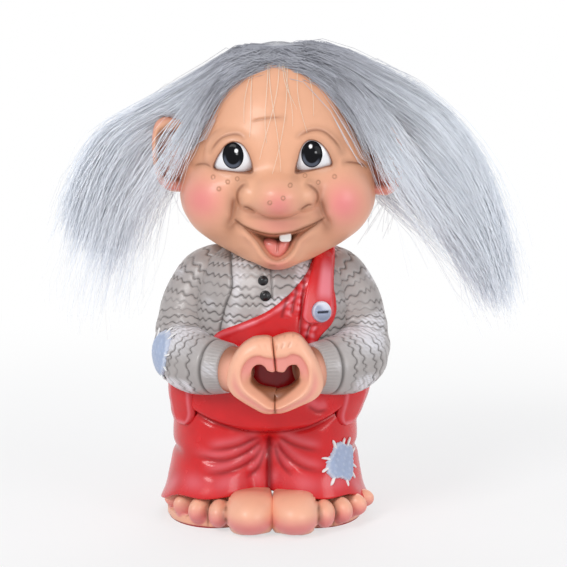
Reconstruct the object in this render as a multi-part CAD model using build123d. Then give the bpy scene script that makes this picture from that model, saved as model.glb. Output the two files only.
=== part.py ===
"""Standing folk troll figure, about 15 cm tall: cast and painted, in dungarees and a knitted jumper.

It makes a heart with its hands and wears a long-haired fur wig that is combed out to both sides.
The castings are bonded with round pegs in sockets, and the small details are thin pieces seated on them.
The figure faces -Y and stands on Z = 0. Left and right are as seen from the front, so left is -X.
"""

from build123d import *
import math
import os

# Heights that stack up from the floor
PAD_THICKNESS = 1.0
PAD_RECESS = 0.6
SOLE_HEIGHT = 4.2
TROUSERS_HEIGHT = 53.8
TORSO_HEIGHT = 30.0
HEAD_SINK = 6.2
HEAD_HEIGHT = 67.3

# Girths of the main castings
LEG_HALF_WIDTH = 17.0
LEG_HALF_DEPTH = 23.0
LEG_OVERLAP = 1.35
BELLY_HALF_WIDTH = 32.5
BELLY_HALF_DEPTH = 25.4
TORSO_HALF_WIDTH = 27.2
TORSO_HALF_DEPTH = 22.4
HEAD_HALF_WIDTH = 31.0
HEAD_HALF_DEPTH = 27.6

# The castings aren't quite in line: the legs stand to the left, the hands and the head to the right
LEG_SHIFT = -2.3
HAND_SHIFT = 1.1
HEAD_SHIFT = 1.9

# Pegs join the castings, and their sockets are this much wider
PEG_CLEARANCE = 0.15
OVERRUN = 90.0

SOLE_Z = PAD_THICKNESS - PAD_RECESS
HEM_Z = SOLE_Z + SOLE_HEIGHT
WAIST_Z = HEM_Z + TROUSERS_HEIGHT
NECK_Z = WAIST_Z + TORSO_HEIGHT
CHIN_Z = NECK_Z - HEAD_SINK

# Levels of a casting from the bottom up, as shares of its height, half width, half depth and side shift,
# and then the share of the half depth that its centre lies back from the origin
LEG_LEVEL_SHARES = [
    (0.00, 1.000, 1.000, 1.00, -0.055),
    (0.14, 0.960, 0.955, 1.00, -0.050),
    (0.29, 0.900, 0.905, 0.95, -0.030),
    (0.49, 0.905, 0.940, 0.80, -0.030),
    (0.66, 0.800, 0.800, 0.60, -0.050),
]
BELLY_LEVEL_SHARES = [
    (0.39, 0.700, 0.660, 1.00, -0.030),
    (0.49, 0.880, 0.850, 0.90, -0.060),
    (0.60, 0.965, 0.960, 0.60, -0.075),
    (0.71, 1.000, 1.000, 0.35, -0.080),
    (0.84, 0.966, 0.985, 0.10, -0.080),
    (1.00, 0.885, 0.935, 0.00, -0.078),
]
TORSO_LEVEL_SHARES = [
    (0.00, 1.000, 1.000, 0.00, -0.083),
    (0.25, 0.960, 0.970, 0.00, -0.078),
    (0.52, 0.900, 0.905, 0.00, -0.056),
    (0.72, 0.820, 0.805, 0.00, -0.045),
    (0.87, 0.690, 0.680, 0.00, -0.033),
    (1.00, 0.400, 0.480, 0.00, 0.000),
]
HEAD_LEVEL_SHARES = [
    (0.000, 0.000, 0.000, 1.00, -0.470),
    (0.021, 0.290, 0.255, 1.00, -0.490),
    (0.056, 0.470, 0.435, 1.00, -0.380),
    (0.101, 0.660, 0.635, 1.00, -0.255),
    (0.160, 0.840, 0.800, 1.00, -0.145),
    (0.235, 0.960, 0.925, 1.00, -0.072),
    (0.310, 1.000, 0.980, 1.00, -0.036),
    (0.400, 0.987, 0.996, 1.00, -0.011),
    (0.500, 0.945, 1.000, 1.00, 0.000),
    (0.620, 0.880, 0.978, 1.00, 0.022),
    (0.740, 0.775, 0.900, 1.00, 0.036),
    (0.844, 0.630, 0.746, 1.00, 0.043),
    (0.926, 0.445, 0.536, 1.00, 0.050),
    (0.978, 0.240, 0.290, 1.00, 0.054),
    (1.000, 0.000, 0.000, 1.00, 0.054),
]


def levels_of(shares, base_z, height, half_width, half_depth, shift):
    """Turns a table of shares into levels of (z, half width, half depth, centre x, centre y)."""
    return [
        (base_z + up * height, wide * half_width, deep * half_depth, aside * shift, back * half_depth)
        for up, wide, deep, aside, back in shares
    ]


def leg_levels(side):
    """A leg's levels. Its inner side runs a little past the middle, so that the two legs join."""
    return [
        (z, half_width, half_depth, x + side * (half_width - LEG_OVERLAP), y)
        for z, half_width, half_depth, x, y in levels_of(
            LEG_LEVEL_SHARES, HEM_Z, TROUSERS_HEIGHT, LEG_HALF_WIDTH, LEG_HALF_DEPTH, LEG_SHIFT
        )
    ]


BELLY_LEVELS = levels_of(
    BELLY_LEVEL_SHARES, HEM_Z, TROUSERS_HEIGHT, BELLY_HALF_WIDTH, BELLY_HALF_DEPTH, LEG_SHIFT
)
TORSO_LEVELS = levels_of(TORSO_LEVEL_SHARES, WAIST_Z, TORSO_HEIGHT, TORSO_HALF_WIDTH, TORSO_HALF_DEPTH, 0)
HEAD_LEVELS = levels_of(
    HEAD_LEVEL_SHARES, CHIN_Z, HEAD_HEIGHT, HEAD_HALF_WIDTH, HEAD_HALF_DEPTH, HEAD_SHIFT
)


def oval(half_width, half_depth):
    """An oval face in four quarter arcs, so that the sections of a loft line up."""
    quarters = [
        EllipticalCenterArc((0, 0), half_width, half_depth, start_angle=quarter * 90, arc_size=90)
        for quarter in range(4)
    ]
    return Face(Wire(quarters))


def thicker(levels, extra):
    """The levels of the same casting with extra added all over. Its open ends stay at their heights."""
    moved = []
    for number, (z, half_width, half_depth, x, y) in enumerate(levels):
        below, above = levels[max(number - 1, 0)], levels[min(number + 1, len(levels) - 1)]
        rise, swell = above[0] - below[0], above[1] - below[1]
        slant = math.hypot(rise, swell)
        if half_width == 0:
            moved.append((z + extra * (1 if number else -1), 0, 0, x, y))
        elif number in (0, len(levels) - 1):
            moved.append((z, half_width + extra, half_depth + extra, x, y))
        else:
            out, up = extra * rise / slant, -extra * swell / slant
            moved.append((z + up, half_width + out, half_depth + out, x, y))
    return moved


def cast_shape(levels, extra=0):
    """A smooth closed casting through oval levels, thickened by extra. A level with no width is a pole."""
    sections = []
    for z, half_width, half_depth, x, y in thicker(levels, extra):
        sections.append(Pos(x, y, z) * oval(half_width, half_depth) if half_width else Vertex(x, y, z))
    return loft(sections)


def level_at(levels, z):
    """The oval of a casting at one height, by straight lines between its levels."""
    for lower, upper in zip(levels, levels[1:]):
        if lower[0] <= z <= upper[0]:
            part = (z - lower[0]) / (upper[0] - lower[0])
            return [a + part * (b - a) for a, b in zip(lower, upper)]
    return list(levels[0] if z < levels[0][0] else levels[-1])


def surface_at(levels, x, z):
    """The point on the front of a casting at x and z, and the level direction out of it there."""
    _, half_width, half_depth, centre_x, centre_y = level_at(levels, z)
    across = (x - centre_x) / half_width
    ahead = math.sqrt(1 - across**2)
    point = Vector(x, centre_y - half_depth * ahead, z)
    return point, Vector(across / half_width, -ahead / half_depth, 0).normalized()


UPPER_ANGLES = (0, 20, 45, 70)
LOWER_ANGLES = (-70, -45, -20)


def dome(centre, radii, angles=UPPER_ANGLES):
    """The upper half of a ball with its own radius along each axis, as a loft that closes to its pole."""
    x, y, z = centre
    sections = []
    for angle in angles:
        wide, up = math.cos(math.radians(angle)), math.sin(math.radians(angle))
        sections.append(Pos(x, y, z + up * radii[2]) * oval(wide * radii[0], wide * radii[1]))
    if min(angles) < 0:
        sections.insert(0, Vertex(x, y, z - radii[2]))
    return loft([*sections, Vertex(x, y, z + radii[2])])


def ball(centre, radii):
    """A whole ball, made like a dome."""
    return dome(centre, radii, (*LOWER_ANGLES, *UPPER_ANGLES))


def peg(start, direction, radius, length, clearance=0):
    """A round peg from start along direction, or its socket, which is wider and deeper by the clearance."""
    foot = Plane(origin=start, z_dir=direction)
    rise = (Align.CENTER, Align.CENTER, Align.MIN)
    return foot * Cylinder(radius + clearance, length + clearance, align=rise)


def tube(points, radii):
    """A limb or a lock of hair through oval sections. points are its centres, and radii are pairs, upright in
    the view and along Y. A pair of zeros closes an end to a point."""
    sections = []
    across = Vector(0, 1, 0)
    for number, (point, (upright, deep)) in enumerate(zip(points, radii)):
        before = Vector(*points[max(number - 1, 0)])
        after = Vector(*points[min(number + 1, len(points) - 1)])
        along = (after - before).normalized()
        across = (across - along * across.dot(along)).normalized()
        if upright > 0:
            sections.append(Plane(origin=point, x_dir=across, z_dir=along) * oval(deep, upright))
        else:
            sections.append(Vertex(*point))
    return loft(sections)


def prism(outline, azimuth=0, start=(0, 0)):
    """An outline in (across, z) about a start in (x, y), pushed out level from there. Azimuth 0 is the front,
    and 90 the right side."""
    turn = math.radians(azimuth)
    across, ahead = (math.cos(turn), math.sin(turn), 0), (math.sin(turn), -math.cos(turn), 0)
    facing = Plane(origin=(*start, 0), x_dir=across, z_dir=ahead)
    return extrude(facing * make_face(outline), OVERRUN)


def polygon(points):
    return Polyline(*points, close=True)


def main_solid(shape):
    """The largest solid of a shape."""
    return Part() + max(shape.solids(), key=lambda solid: solid.volume)


def joined(first, others):
    """Adds shapes one at a time."""
    for other in others:
        first += other
    return first


# The castings before anything is cut from them. Their neighbours are seated against these
BELLY_FORM = cast_shape(BELLY_LEVELS)
LEG_FORMS = {side: cast_shape(leg_levels(side)) for side in (-1, 1)}
TORSO_FORM = cast_shape(TORSO_LEVELS)
HEAD_FORM = cast_shape(HEAD_LEVELS)


# Felt pads: an oval of felt under each foot, let into its sole and standing a little proud of it
PAD_MARGIN = 1.6


def make_felt_pads():
    pads = []
    for side in (-1, 1):
        _, half_width, half_depth, x, y = leg_levels(side)[0]
        outline = Pos(x, y, 0) * oval(half_width - PAD_MARGIN, half_depth - PAD_MARGIN)
        pads.append(extrude(outline, PAD_THICKNESS))
    return pads[0] + pads[1]


# Feet: each has a sole under its trouser leg, an instep under the arched hem, a big toe and four small toes
FOOT_CLEFT_X = 0.3
SOLE_LIP = 0.4
INSTEP_RADIUS = 12.0
INSTEP_HEIGHT = 12.4
INSTEP_PLACE_SHARES = (0.88, -0.70)
BIG_TOE_RADIUS = 6.5
BIG_TOE_HALF_LENGTH = 8.4
BIG_TOE_OFFSET = 7.1
BIG_TOE_Y_SHARE = -1.32
SMALL_TOE_RADIUS = 3.4
SMALL_TOE_HALF_LENGTH = 5.4
SMALL_TOE_SHARES = [
    (0.530, -1.080, 1.00),
    (0.700, -0.890, 0.94),
    (0.845, -0.640, 0.88),
    (0.950, -0.370, 0.80),
]
TOE_LIFT = 0.3
FOOT_PEG_RADIUS = 3.0
FOOT_PEG_LENGTH = 9.0


def foot_x(side, share):
    """A place across one foot, as a share of the way from the cleft between the feet to its outer edge."""
    outer = LEG_SHIFT + side * (2 * LEG_HALF_WIDTH - LEG_OVERLAP)
    return FOOT_CLEFT_X + share * (outer - FOOT_CLEFT_X)


def foot_peg(side, clearance=0):
    start = (leg_levels(side)[0][3], 0, HEM_Z - SOLE_HEIGHT / 2)
    return peg(start, (0, 0, 1), FOOT_PEG_RADIUS, FOOT_PEG_LENGTH, clearance)


def make_foot(side, pads):
    _, half_width, half_depth, x, y = leg_levels(side)[0]
    sole = extrude(Pos(x, y, SOLE_Z) * oval(half_width + SOLE_LIP, half_depth + SOLE_LIP), SOLE_HEIGHT)
    toe_z = SOLE_Z + TOE_LIFT
    instep_x = x + side * (INSTEP_PLACE_SHARES[0] - 1) * half_width
    instep_place = (instep_x, INSTEP_PLACE_SHARES[1] * half_depth, toe_z)
    instep = dome(instep_place, (INSTEP_RADIUS, INSTEP_RADIUS, INSTEP_HEIGHT))
    big_place = (FOOT_CLEFT_X + side * BIG_TOE_OFFSET, BIG_TOE_Y_SHARE * half_depth, toe_z + BIG_TOE_RADIUS)
    toes = [ball(big_place, (BIG_TOE_RADIUS, BIG_TOE_HALF_LENGTH, BIG_TOE_RADIUS))]
    for across, ahead, size in SMALL_TOE_SHARES:
        radius = size * SMALL_TOE_RADIUS
        place = (foot_x(side, across), ahead * half_depth, toe_z + radius)
        toes.append(ball(place, (radius, size * SMALL_TOE_HALF_LENGTH, radius)))
    keep = Pos(FOOT_CLEFT_X + side * OVERRUN / 2, 0, SOLE_Z + OVERRUN / 2) * Box(OVERRUN, OVERRUN, OVERRUN)
    return joined((sole + instep) & keep, toes) - pads


# Trousers: two wide legs under a round belly that overhangs them, all one casting
def make_trousers(feet):
    sockets = [foot_peg(side, PEG_CLEARANCE) for side in (-1, 1)]
    trousers = joined(BELLY_FORM, LEG_FORMS.values())
    for piece in (*feet, *sockets, waist_peg(PEG_CLEARANCE)):
        trousers -= piece
    return trousers


# Jumper body: the torso stands on the trousers with a waist peg, and its neck peg carries the head
WAIST_PEG_RADIUS = 8.0
WAIST_PEG_LENGTH = 9.0
NECK_PEG_RADIUS = 5.5
NECK_PEG_LENGTH = 10.0
SHOULDER_PEG_RADIUS = 2.8
SHOULDER_PEG_REACH_SHARE = 1.05
SHOULDER_PEG_Z_SHARE = 0.5


def waist_peg(clearance=0):
    return peg((0, 0, WAIST_Z), (0, 0, -1), WAIST_PEG_RADIUS, WAIST_PEG_LENGTH, clearance)


def neck_peg(clearance=0):
    return peg((0, 0, NECK_Z), (0, 0, 1), NECK_PEG_RADIUS, NECK_PEG_LENGTH, clearance)


def shoulder_peg(clearance=0):
    """One straight peg right through the body, with an end in each sleeve."""
    reach = SHOULDER_PEG_REACH_SHARE * TORSO_HALF_WIDTH
    start = (-reach - clearance, 0, WAIST_Z + SHOULDER_PEG_Z_SHARE * TORSO_HEIGHT)
    return peg(start, (1, 0, 0), SHOULDER_PEG_RADIUS, 2 * reach, clearance)


def make_torso():
    return joined(TORSO_FORM, [waist_peg(), neck_peg(), shoulder_peg()])


# Sleeves: each runs from a round shoulder, round the elbow, to a cuff in front of the belly
SLEEVE_RADIUS = 9.8
SLEEVE_SHARES = [
    (0.360, 0.030, 0.710, 0.00),
    (0.480, 0.030, 0.710, 0.60),
    (0.700, 0.030, 0.645, 0.88),
    (0.910, -0.020, 0.420, 0.93),
    (1.005, -0.200, 0.070, 0.97),
    (1.010, -0.420, -0.115, 1.00),
    (0.920, -0.800, -0.200, 1.00),
    (0.720, -1.100, -0.210, 0.92),
    (0.520, -1.270, -0.205, 0.79),
]


def sleeve_points(side):
    return [
        (side * out * TORSO_HALF_WIDTH, back * TORSO_HALF_DEPTH, WAIST_Z + up * TORSO_HEIGHT)
        for out, back, up, _ in SLEEVE_SHARES
    ]


def sleeve_shape(side, extra=0):
    """The whole arm before anything is cut from it. Its shoulder end is a point inside the jumper body."""
    radii = [share * SLEEVE_RADIUS + (extra if share else 0) for *_, share in SLEEVE_SHARES]
    return tube(sleeve_points(side), [(radius, radius) for radius in radii])


ARM_FORMS = {side: sleeve_shape(side) for side in (-1, 1)}


def make_sleeve(side):
    """A sleeve, seated on the jumper body and the belly, with a socket for the wrist in its cuff."""
    sleeve = main_solid(ARM_FORMS[side] - TORSO_FORM - BELLY_FORM)
    return sleeve - shoulder_peg(PEG_CLEARANCE) - wrist_peg(side, PEG_CLEARANCE)


# Hands: fingers and thumbs curl round to meet at the middle, round a heart-shaped window
HEART_HALF_WIDTH = 14.6
HEART_HALF_HEIGHT = 12.2
HEART_Z_SHARE = -0.26
HEART_Y_SHARE = -1.62
HAND_HALF_DEPTH = 4.4
PALM_RADIUS = 3.6
PALM_SHARES = [
    (-0.12, -0.88, 0.60),
    (0.14, -0.79, 0.62),
    (0.38, -0.64, 0.70),
    (0.62, -0.42, 0.86),
    (0.76, -0.10, 0.94),
    (0.73, 0.27, 1.00),
    (0.57, 0.57, 1.08),
    (0.38, 0.66, 1.10),
]
FINGER_BALL_SHARES = [(0.22, 0.60, 0.225, 0.42), (0.09, 0.30, 0.125, 0.26)]
WRIST_RADIUS = 5.6
WRIST_START_SHARE = 0.45
WRIST_END_SHARES = (0.88, -0.08)


def hand_place(side, across, up):
    return (
        HAND_SHIFT + side * across * HEART_HALF_WIDTH,
        HEART_Y_SHARE * TORSO_HALF_DEPTH,
        WAIST_Z + HEART_Z_SHARE * TORSO_HEIGHT + up * HEART_HALF_HEIGHT,
    )


def wrist_peg(side, clearance=0):
    """The wrist, from inside the cuff to the palm."""
    before, end = (Vector(*point) for point in sleeve_points(side)[-2:])
    start = end + (before - end) * WRIST_START_SHARE
    palm = Vector(*hand_place(side, *WRIST_END_SHARES))
    reach = palm - start
    return peg(start - reach.normalized() * clearance, reach, WRIST_RADIUS + clearance, reach.length)


def make_hand(side):
    points = [hand_place(side, across, up) for across, up, _ in PALM_SHARES]
    hand = tube(points, [(share * PALM_RADIUS, HAND_HALF_DEPTH) for *_, share in PALM_SHARES])
    for across, up, wide, high in FINGER_BALL_SHARES:
        radii = (wide * HEART_HALF_WIDTH, HAND_HALF_DEPTH, high * HEART_HALF_HEIGHT)
        hand += ball(hand_place(side, across, up), radii)
    keep = Pos(HAND_SHIFT + side * OVERRUN / 2, 0, 0) * Box(OVERRUN, OVERRUN * 2, OVERRUN * 2)
    return main_solid(((hand + wrist_peg(side)) & keep) - BELLY_FORM)


# Bib: the thin front panel of the dungarees, cut off slantwise and held up by the one strap
BIB_THICKNESS = 1.2
BIB_EDGE_SHARES = [
    (-0.80, 0.03), (-0.575, 0.13), (-0.36, 0.215), (-0.07, 0.335), (0.155, 0.47), (0.33, 0.615)
]
BIB_RIGHT_SHARES = [(0.46, 0.80), (0.53, 1.02), (0.72, 1.02), (0.70, 0.45), (0.70, 0.0)]


def jumper_outline(shares):
    """Points in (x, z), as shares of the jumper body's half width and height."""
    return [(across * TORSO_HALF_WIDTH, WAIST_Z + up * TORSO_HEIGHT) for across, up in shares]


def make_bib():
    edge = jumper_outline([(BIB_EDGE_SHARES[0][0], 0), *BIB_EDGE_SHARES, *BIB_RIGHT_SHARES])
    panel = cast_shape(TORSO_LEVELS, BIB_THICKNESS) & prism(polygon(edge))
    return main_solid(panel - TORSO_FORM - BELLY_FORM - ARM_FORMS[-1] - ARM_FORMS[1] - HEAD_FORM)


# Strap: runs from the waist at the back, over the right shoulder, to a rounded end buttoned on the bib
STRAP_THICKNESS = 1.3
STRAP_HALF_WIDTH = 5.1
STRAP_TOP_HALF_WIDTH = 2.9
STRAP_END_SHARES = (0.511, 0.27)
STRAP_TOP_SHARES = (0.635, 1.02)
STRAP_SHOULDER_SHARE = 0.7
STRAP_BUTTON_RADIUS = 3.4
STRAP_BUTTON_HEIGHT = 2.2
STRAP_BUTTON_SHARES = (0.522, 0.355)
STRAP_BUTTON_SLOT = 0.9


def strap_outline():
    """The strap from the front: a half-round end at the bottom and sides that draw in to the shoulder."""
    (end_x, end_z), (top_x, top_z) = jumper_outline([STRAP_END_SHARES, STRAP_TOP_SHARES])
    left = (end_x - STRAP_HALF_WIDTH, end_z)
    right = (end_x + STRAP_HALF_WIDTH, end_z)
    up_left = (top_x - STRAP_TOP_HALF_WIDTH, top_z)
    up_right = (top_x + STRAP_TOP_HALF_WIDTH, top_z)
    bottom = ThreePointArc(left, (end_x, end_z - STRAP_HALF_WIDTH), right)
    return Wire([*Polyline(right, up_right, up_left, left).edges(), bottom])


def make_strap(bib):
    rise = BIB_THICKNESS + STRAP_THICKNESS
    top_x, top_z = jumper_outline([STRAP_TOP_SHARES])[0]
    width, back_height = STRAP_TOP_HALF_WIDTH * 2, top_z - WAIST_Z
    back = Pos(top_x, OVERRUN / 2, WAIST_Z + back_height / 2) * Box(width, OVERRUN, back_height)
    run = prism(strap_outline()) + back
    shoulder_z = WAIST_Z + STRAP_SHOULDER_SHARE * TORSO_HEIGHT
    shoulder = Pos(top_x, 0, shoulder_z + OVERRUN / 2) * Box(width, OVERRUN, OVERRUN)
    over = (cast_shape(TORSO_LEVELS, rise) & run) + (sleeve_shape(1, rise) & shoulder)
    return main_solid(over - TORSO_FORM - BELLY_FORM - ARM_FORMS[1] - HEAD_FORM - bib)


BUTTON_SINK = 0.5


def domed_button(place, lift, radius, height, seat):
    """A domed button on the front of the jumper body, lift above its surface. It starts a little lower and is
    cut by the piece that it is seated on."""
    point, outward = surface_at(TORSO_LEVELS, *place)
    foot = Plane(origin=point + outward * (lift - BUTTON_SINK), z_dir=outward)
    return main_solid(foot * dome((0, 0, 0), (radius, radius, height + BUTTON_SINK)) - seat)


def make_strap_button(strap):
    place = jumper_outline([STRAP_BUTTON_SHARES])[0]
    lift = BIB_THICKNESS + STRAP_THICKNESS
    button = domed_button(place, lift, STRAP_BUTTON_RADIUS, STRAP_BUTTON_HEIGHT, strap)
    point, outward = surface_at(TORSO_LEVELS, *place)
    top = Plane(origin=point + outward * (lift + STRAP_BUTTON_HEIGHT), x_dir=(0, 0, 1), z_dir=outward)
    return button - top * Box(STRAP_BUTTON_RADIUS * 3, STRAP_BUTTON_SLOT, STRAP_BUTTON_SLOT)


# Jumper buttons: two black domes on the placket
JUMPER_BUTTON_RADIUS = 1.6
JUMPER_BUTTON_HEIGHT = 1.3
JUMPER_BUTTON_SHARES = [(-0.095, 0.65), (-0.070, 0.50)]


def make_jumper_buttons():
    domes = [
        domed_button(place, 0, JUMPER_BUTTON_RADIUS, JUMPER_BUTTON_HEIGHT, TORSO_FORM)
        for place in jumper_outline(JUMPER_BUTTON_SHARES)
    ]
    return domes[0] + domes[1]


# Patches: thin pieces on the elbow and the knee, with a stitch across their edge every few millimetres
PATCH_THICKNESS = 0.8
STITCH_THICKNESS = 0.6
STITCH_WIDTH = 0.7
STITCH_LENGTH = 4.4
STITCH_ZONE_SHARE = 1.6


def patch_and_stitches(base_shape, outline, azimuth, centre):
    """A patch on a casting and its stitches, which run outwards from its edge. base_shape(extra) gives the
    casting thickened, outline is in (across, up) about centre, and centre is the middle of the limb."""
    x, y, z = centre

    def facing(shape):
        return prism(Pos(0, z) * shape, azimuth, (x, y))

    reach = [(across * STITCH_ZONE_SHARE, up * STITCH_ZONE_SHARE) for across, up in outline]
    under = base_shape() & facing(polygon(reach))
    area = facing(polygon(outline))
    patch = (base_shape(PATCH_THICKNESS) & area) - under
    bars = []
    for (across, up), (next_across, next_up) in zip(outline, outline[1:] + outline[:1]):
        middle_across, middle_up = (across + next_across) / 2, (up + next_up) / 2
        turn = math.degrees(math.atan2(middle_up, middle_across))
        bar = Rectangle(STITCH_LENGTH, STITCH_WIDTH).rotate(Axis.Z, turn)
        bars.append(facing((Pos(middle_across, middle_up) * bar).wire()))
    thread = base_shape(STITCH_THICKNESS) & facing(polygon(reach))
    return main_solid(patch), ((thread - under) & (bars[0] + bars[1:])) - area


ELBOW_PATCH_HALF_WIDTH = 5.6
ELBOW_PATCH_HALF_HEIGHT = 7.0
ELBOW_PATCH_AZIMUTH = -52.0
ELBOW_POINT = 5
ELBOW_PATCH_SHARES = [
    (-0.90, -0.85), (0.05, -1.00), (0.95, -0.80), (1.00, 0.00),
    (0.90, 0.90), (0.00, 1.00), (-1.00, 0.85), (-0.95, 0.00),
]
KNEE_PATCH_HALF_WIDTH = 5.6
KNEE_PATCH_HALF_HEIGHT = 6.4
KNEE_PATCH_AZIMUTH = 38.0
KNEE_PATCH_Z_SHARE = 0.29
KNEE_PATCH_SHARES = [
    (-0.60, -1.00), (0.10, -0.80), (0.75, -0.95), (1.00, -0.20), (0.80, 0.45),
    (0.90, 0.95), (0.15, 0.80), (-0.45, 1.00), (-0.85, 0.50), (-1.00, -0.30),
]


def scaled_outline(shares, half_width, half_height):
    return [(across * half_width, up * half_height) for across, up in shares]


def make_elbow_patch():
    outline = scaled_outline(ELBOW_PATCH_SHARES, ELBOW_PATCH_HALF_WIDTH, ELBOW_PATCH_HALF_HEIGHT)
    elbow = sleeve_points(-1)[ELBOW_POINT]
    return patch_and_stitches(lambda extra=0: sleeve_shape(-1, extra), outline, ELBOW_PATCH_AZIMUTH, elbow)


def make_knee_patch():
    levels = leg_levels(1)
    z = HEM_Z + KNEE_PATCH_Z_SHARE * TROUSERS_HEIGHT
    knee = (*level_at(levels, z)[3:], z)
    outline = scaled_outline(KNEE_PATCH_SHARES, KNEE_PATCH_HALF_WIDTH, KNEE_PATCH_HALF_HEIGHT)
    return patch_and_stitches(lambda extra=0: cast_shape(levels, extra), outline, KNEE_PATCH_AZIMUTH, knee)


# Pockets: a round-bottomed flap on each hip, its top tucked under the forearm
POCKET_THICKNESS = 1.0
POCKET_HALF_WIDTH = 5.6
POCKET_AZIMUTH = 62.0
POCKET_BOTTOM_SHARE = 0.50
POCKET_TOP_SHARE = 0.86


def make_pocket(side):
    bottom_z = HEM_Z + POCKET_BOTTOM_SHARE * TROUSERS_HEIGHT
    top_z = HEM_Z + POCKET_TOP_SHARE * TROUSERS_HEIGHT
    corner_z = bottom_z + POCKET_HALF_WIDTH
    left, right = (-POCKET_HALF_WIDTH, corner_z), (POCKET_HALF_WIDTH, corner_z)
    sides = Polyline(right, (POCKET_HALF_WIDTH, top_z), (-POCKET_HALF_WIDTH, top_z), left)
    outline = Wire([*sides.edges(), ThreePointArc(left, (0, bottom_z), right)])
    area = prism(outline, side * POCKET_AZIMUTH)
    on_belly = cast_shape(BELLY_LEVELS, POCKET_THICKNESS) & area
    on_leg = cast_shape(leg_levels(side), POCKET_THICKNESS) & area
    return main_solid(on_belly + on_leg - BELLY_FORM - LEG_FORMS[side] - ARM_FORMS[side])


# Ears: each stands out level with the nose, is hollow in front, and is let into the head on a tenon
EAR_RADII = (7.2, 3.6, 11.6)
EAR_REACH_SHARE = 1.045
EAR_Y_SHARE = -0.10
EAR_Z_SHARES = {-1: 0.485, 1: 0.462}
EAR_LEAN = 8.0
CONCHA_RADII = (4.0, 2.8, 7.6)
TENON_RADIUS = 2.3
TENON_LENGTH = 12.0


def ear_centre(side):
    return (
        HEAD_SHIFT + side * EAR_REACH_SHARE * HEAD_HALF_WIDTH,
        EAR_Y_SHARE * HEAD_HALF_DEPTH,
        CHIN_Z + EAR_Z_SHARES[side] * HEAD_HEIGHT,
    )


def ear_tenon(side, clearance=0):
    return peg(ear_centre(side), (-side, 0, 0), TENON_RADIUS, TENON_LENGTH, clearance)


def ear_form(side):
    return Pos(*ear_centre(side)) * Rot(0, side * EAR_LEAN, 0) * ball((0, 0, 0), EAR_RADII)


def make_ear(side):
    x, y, z = ear_centre(side)
    hollow = ball((x + side * EAR_RADII[0] / 4, y - EAR_RADII[1], z), CONCHA_RADII)
    return main_solid(ear_form(side) - HEAD_FORM - hollow) + ear_tenon(side)


# Head: one casting with its nose and cheeks, sockets for the eyes and ears, and a hollow mouth
NOSE_RADII = (8.2, 8.2, 6.3)
NOSE_PLACE_SHARES = (0.005, -1.10, 0.339)
NOSTRIL_RADII = (4.6, 5.4, 4.6)
NOSTRIL_PLACE_SHARES = (0.242, -1.04, 0.343)
CHEEK_RADII = (12.0, 12.0, 11.8)
CHEEK_PLACE_SHARES = (0.555, -0.56, 0.312)
EYE_RADII = (7.0, 3.6, 5.4)
EYE_SINK = 1.6
EYES_PLACE_SHARES = (0.384, 0.519)
EYES_SHIFT = -1.6
PUPIL_HALF_WIDTH = 3.3
PUPIL_HALF_HEIGHT = 3.9
PUPIL_THICKNESS = 0.3
MOUTH_SHIFT = 1.1
MOUTH_HALF_WIDTH = 12.4
MOUTH_Z_SHARE = 0.222
LIP_SAG = 2.6
MOUTH_DROP = 11.4
JAW_SHARES = (0.50, 0.62)
MOUTH_FLOOR_SHARE = -0.76
TONGUE_RADII = (5.4, 3.2, 4.4)
TONGUE_DROP_SHARE = 0.70
TOOTH_WIDTH = 4.0
TOOTH_HEIGHT = 3.4
TOOTH_DEPTH = 2.6
TOOTH_OFFSET = 1.3


def head_place(side, across, ahead, up):
    """A place on the face, in shares of the head's half width, half depth and height."""
    x = HEAD_SHIFT + side * across * HEAD_HALF_WIDTH
    return (x, ahead * HEAD_HALF_DEPTH, CHIN_Z + up * HEAD_HEIGHT)


def mouth_outline():
    """The open mouth: the upper lip sags between its corners, and the lower lip draws to a round point."""
    x, z = HEAD_SHIFT + MOUTH_SHIFT, CHIN_Z + MOUTH_Z_SHARE * HEAD_HEIGHT
    left, right = (x - MOUTH_HALF_WIDTH, z), (x + MOUTH_HALF_WIDTH, z)
    jaw_x, jaw_z = JAW_SHARES[0] * MOUTH_HALF_WIDTH, z - JAW_SHARES[1] * MOUTH_DROP
    lip = ThreePointArc(left, (x, z - LIP_SAG), right)
    jaw = ThreePointArc((x + jaw_x, jaw_z), (x, z - MOUTH_DROP), (x - jaw_x, jaw_z))
    return Wire([lip, Line(right, (x + jaw_x, jaw_z)), jaw, Line((x - jaw_x, jaw_z), left)])


def mouth_space():
    """The hollow of the mouth, from its flat floor out through the face."""
    return prism(mouth_outline(), 0, (0, MOUTH_FLOOR_SHARE * HEAD_HALF_DEPTH))


def eye_seat(side):
    """The middle of an eye on the face, and the way that it looks."""
    across, up = EYES_PLACE_SHARES
    x = HEAD_SHIFT + EYES_SHIFT + side * across * HEAD_HALF_WIDTH
    return surface_at(HEAD_LEVELS, x, CHIN_Z + up * HEAD_HEIGHT)


def eye_ball(side, extra=0):
    """An eyeball, turned square to the face and sunk in it."""
    seat, outward = eye_seat(side)
    turn = math.degrees(math.atan2(outward.X, -outward.Y))
    middle = seat - outward * EYE_SINK
    return Pos(*middle) * Rot(0, 0, turn) * ball((0, 0, 0), [radius + extra for radius in EYE_RADII])


def make_pupil(side):
    seat, _ = eye_seat(side)
    area = Pos(seat.X, seat.Z) * oval(PUPIL_HALF_WIDTH, PUPIL_HALF_HEIGHT).outer_wire()
    reach = prism(area, 0, (0, seat.Y + EYE_SINK))
    return main_solid((eye_ball(side, PUPIL_THICKNESS) & reach) - eye_ball(side))


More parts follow.
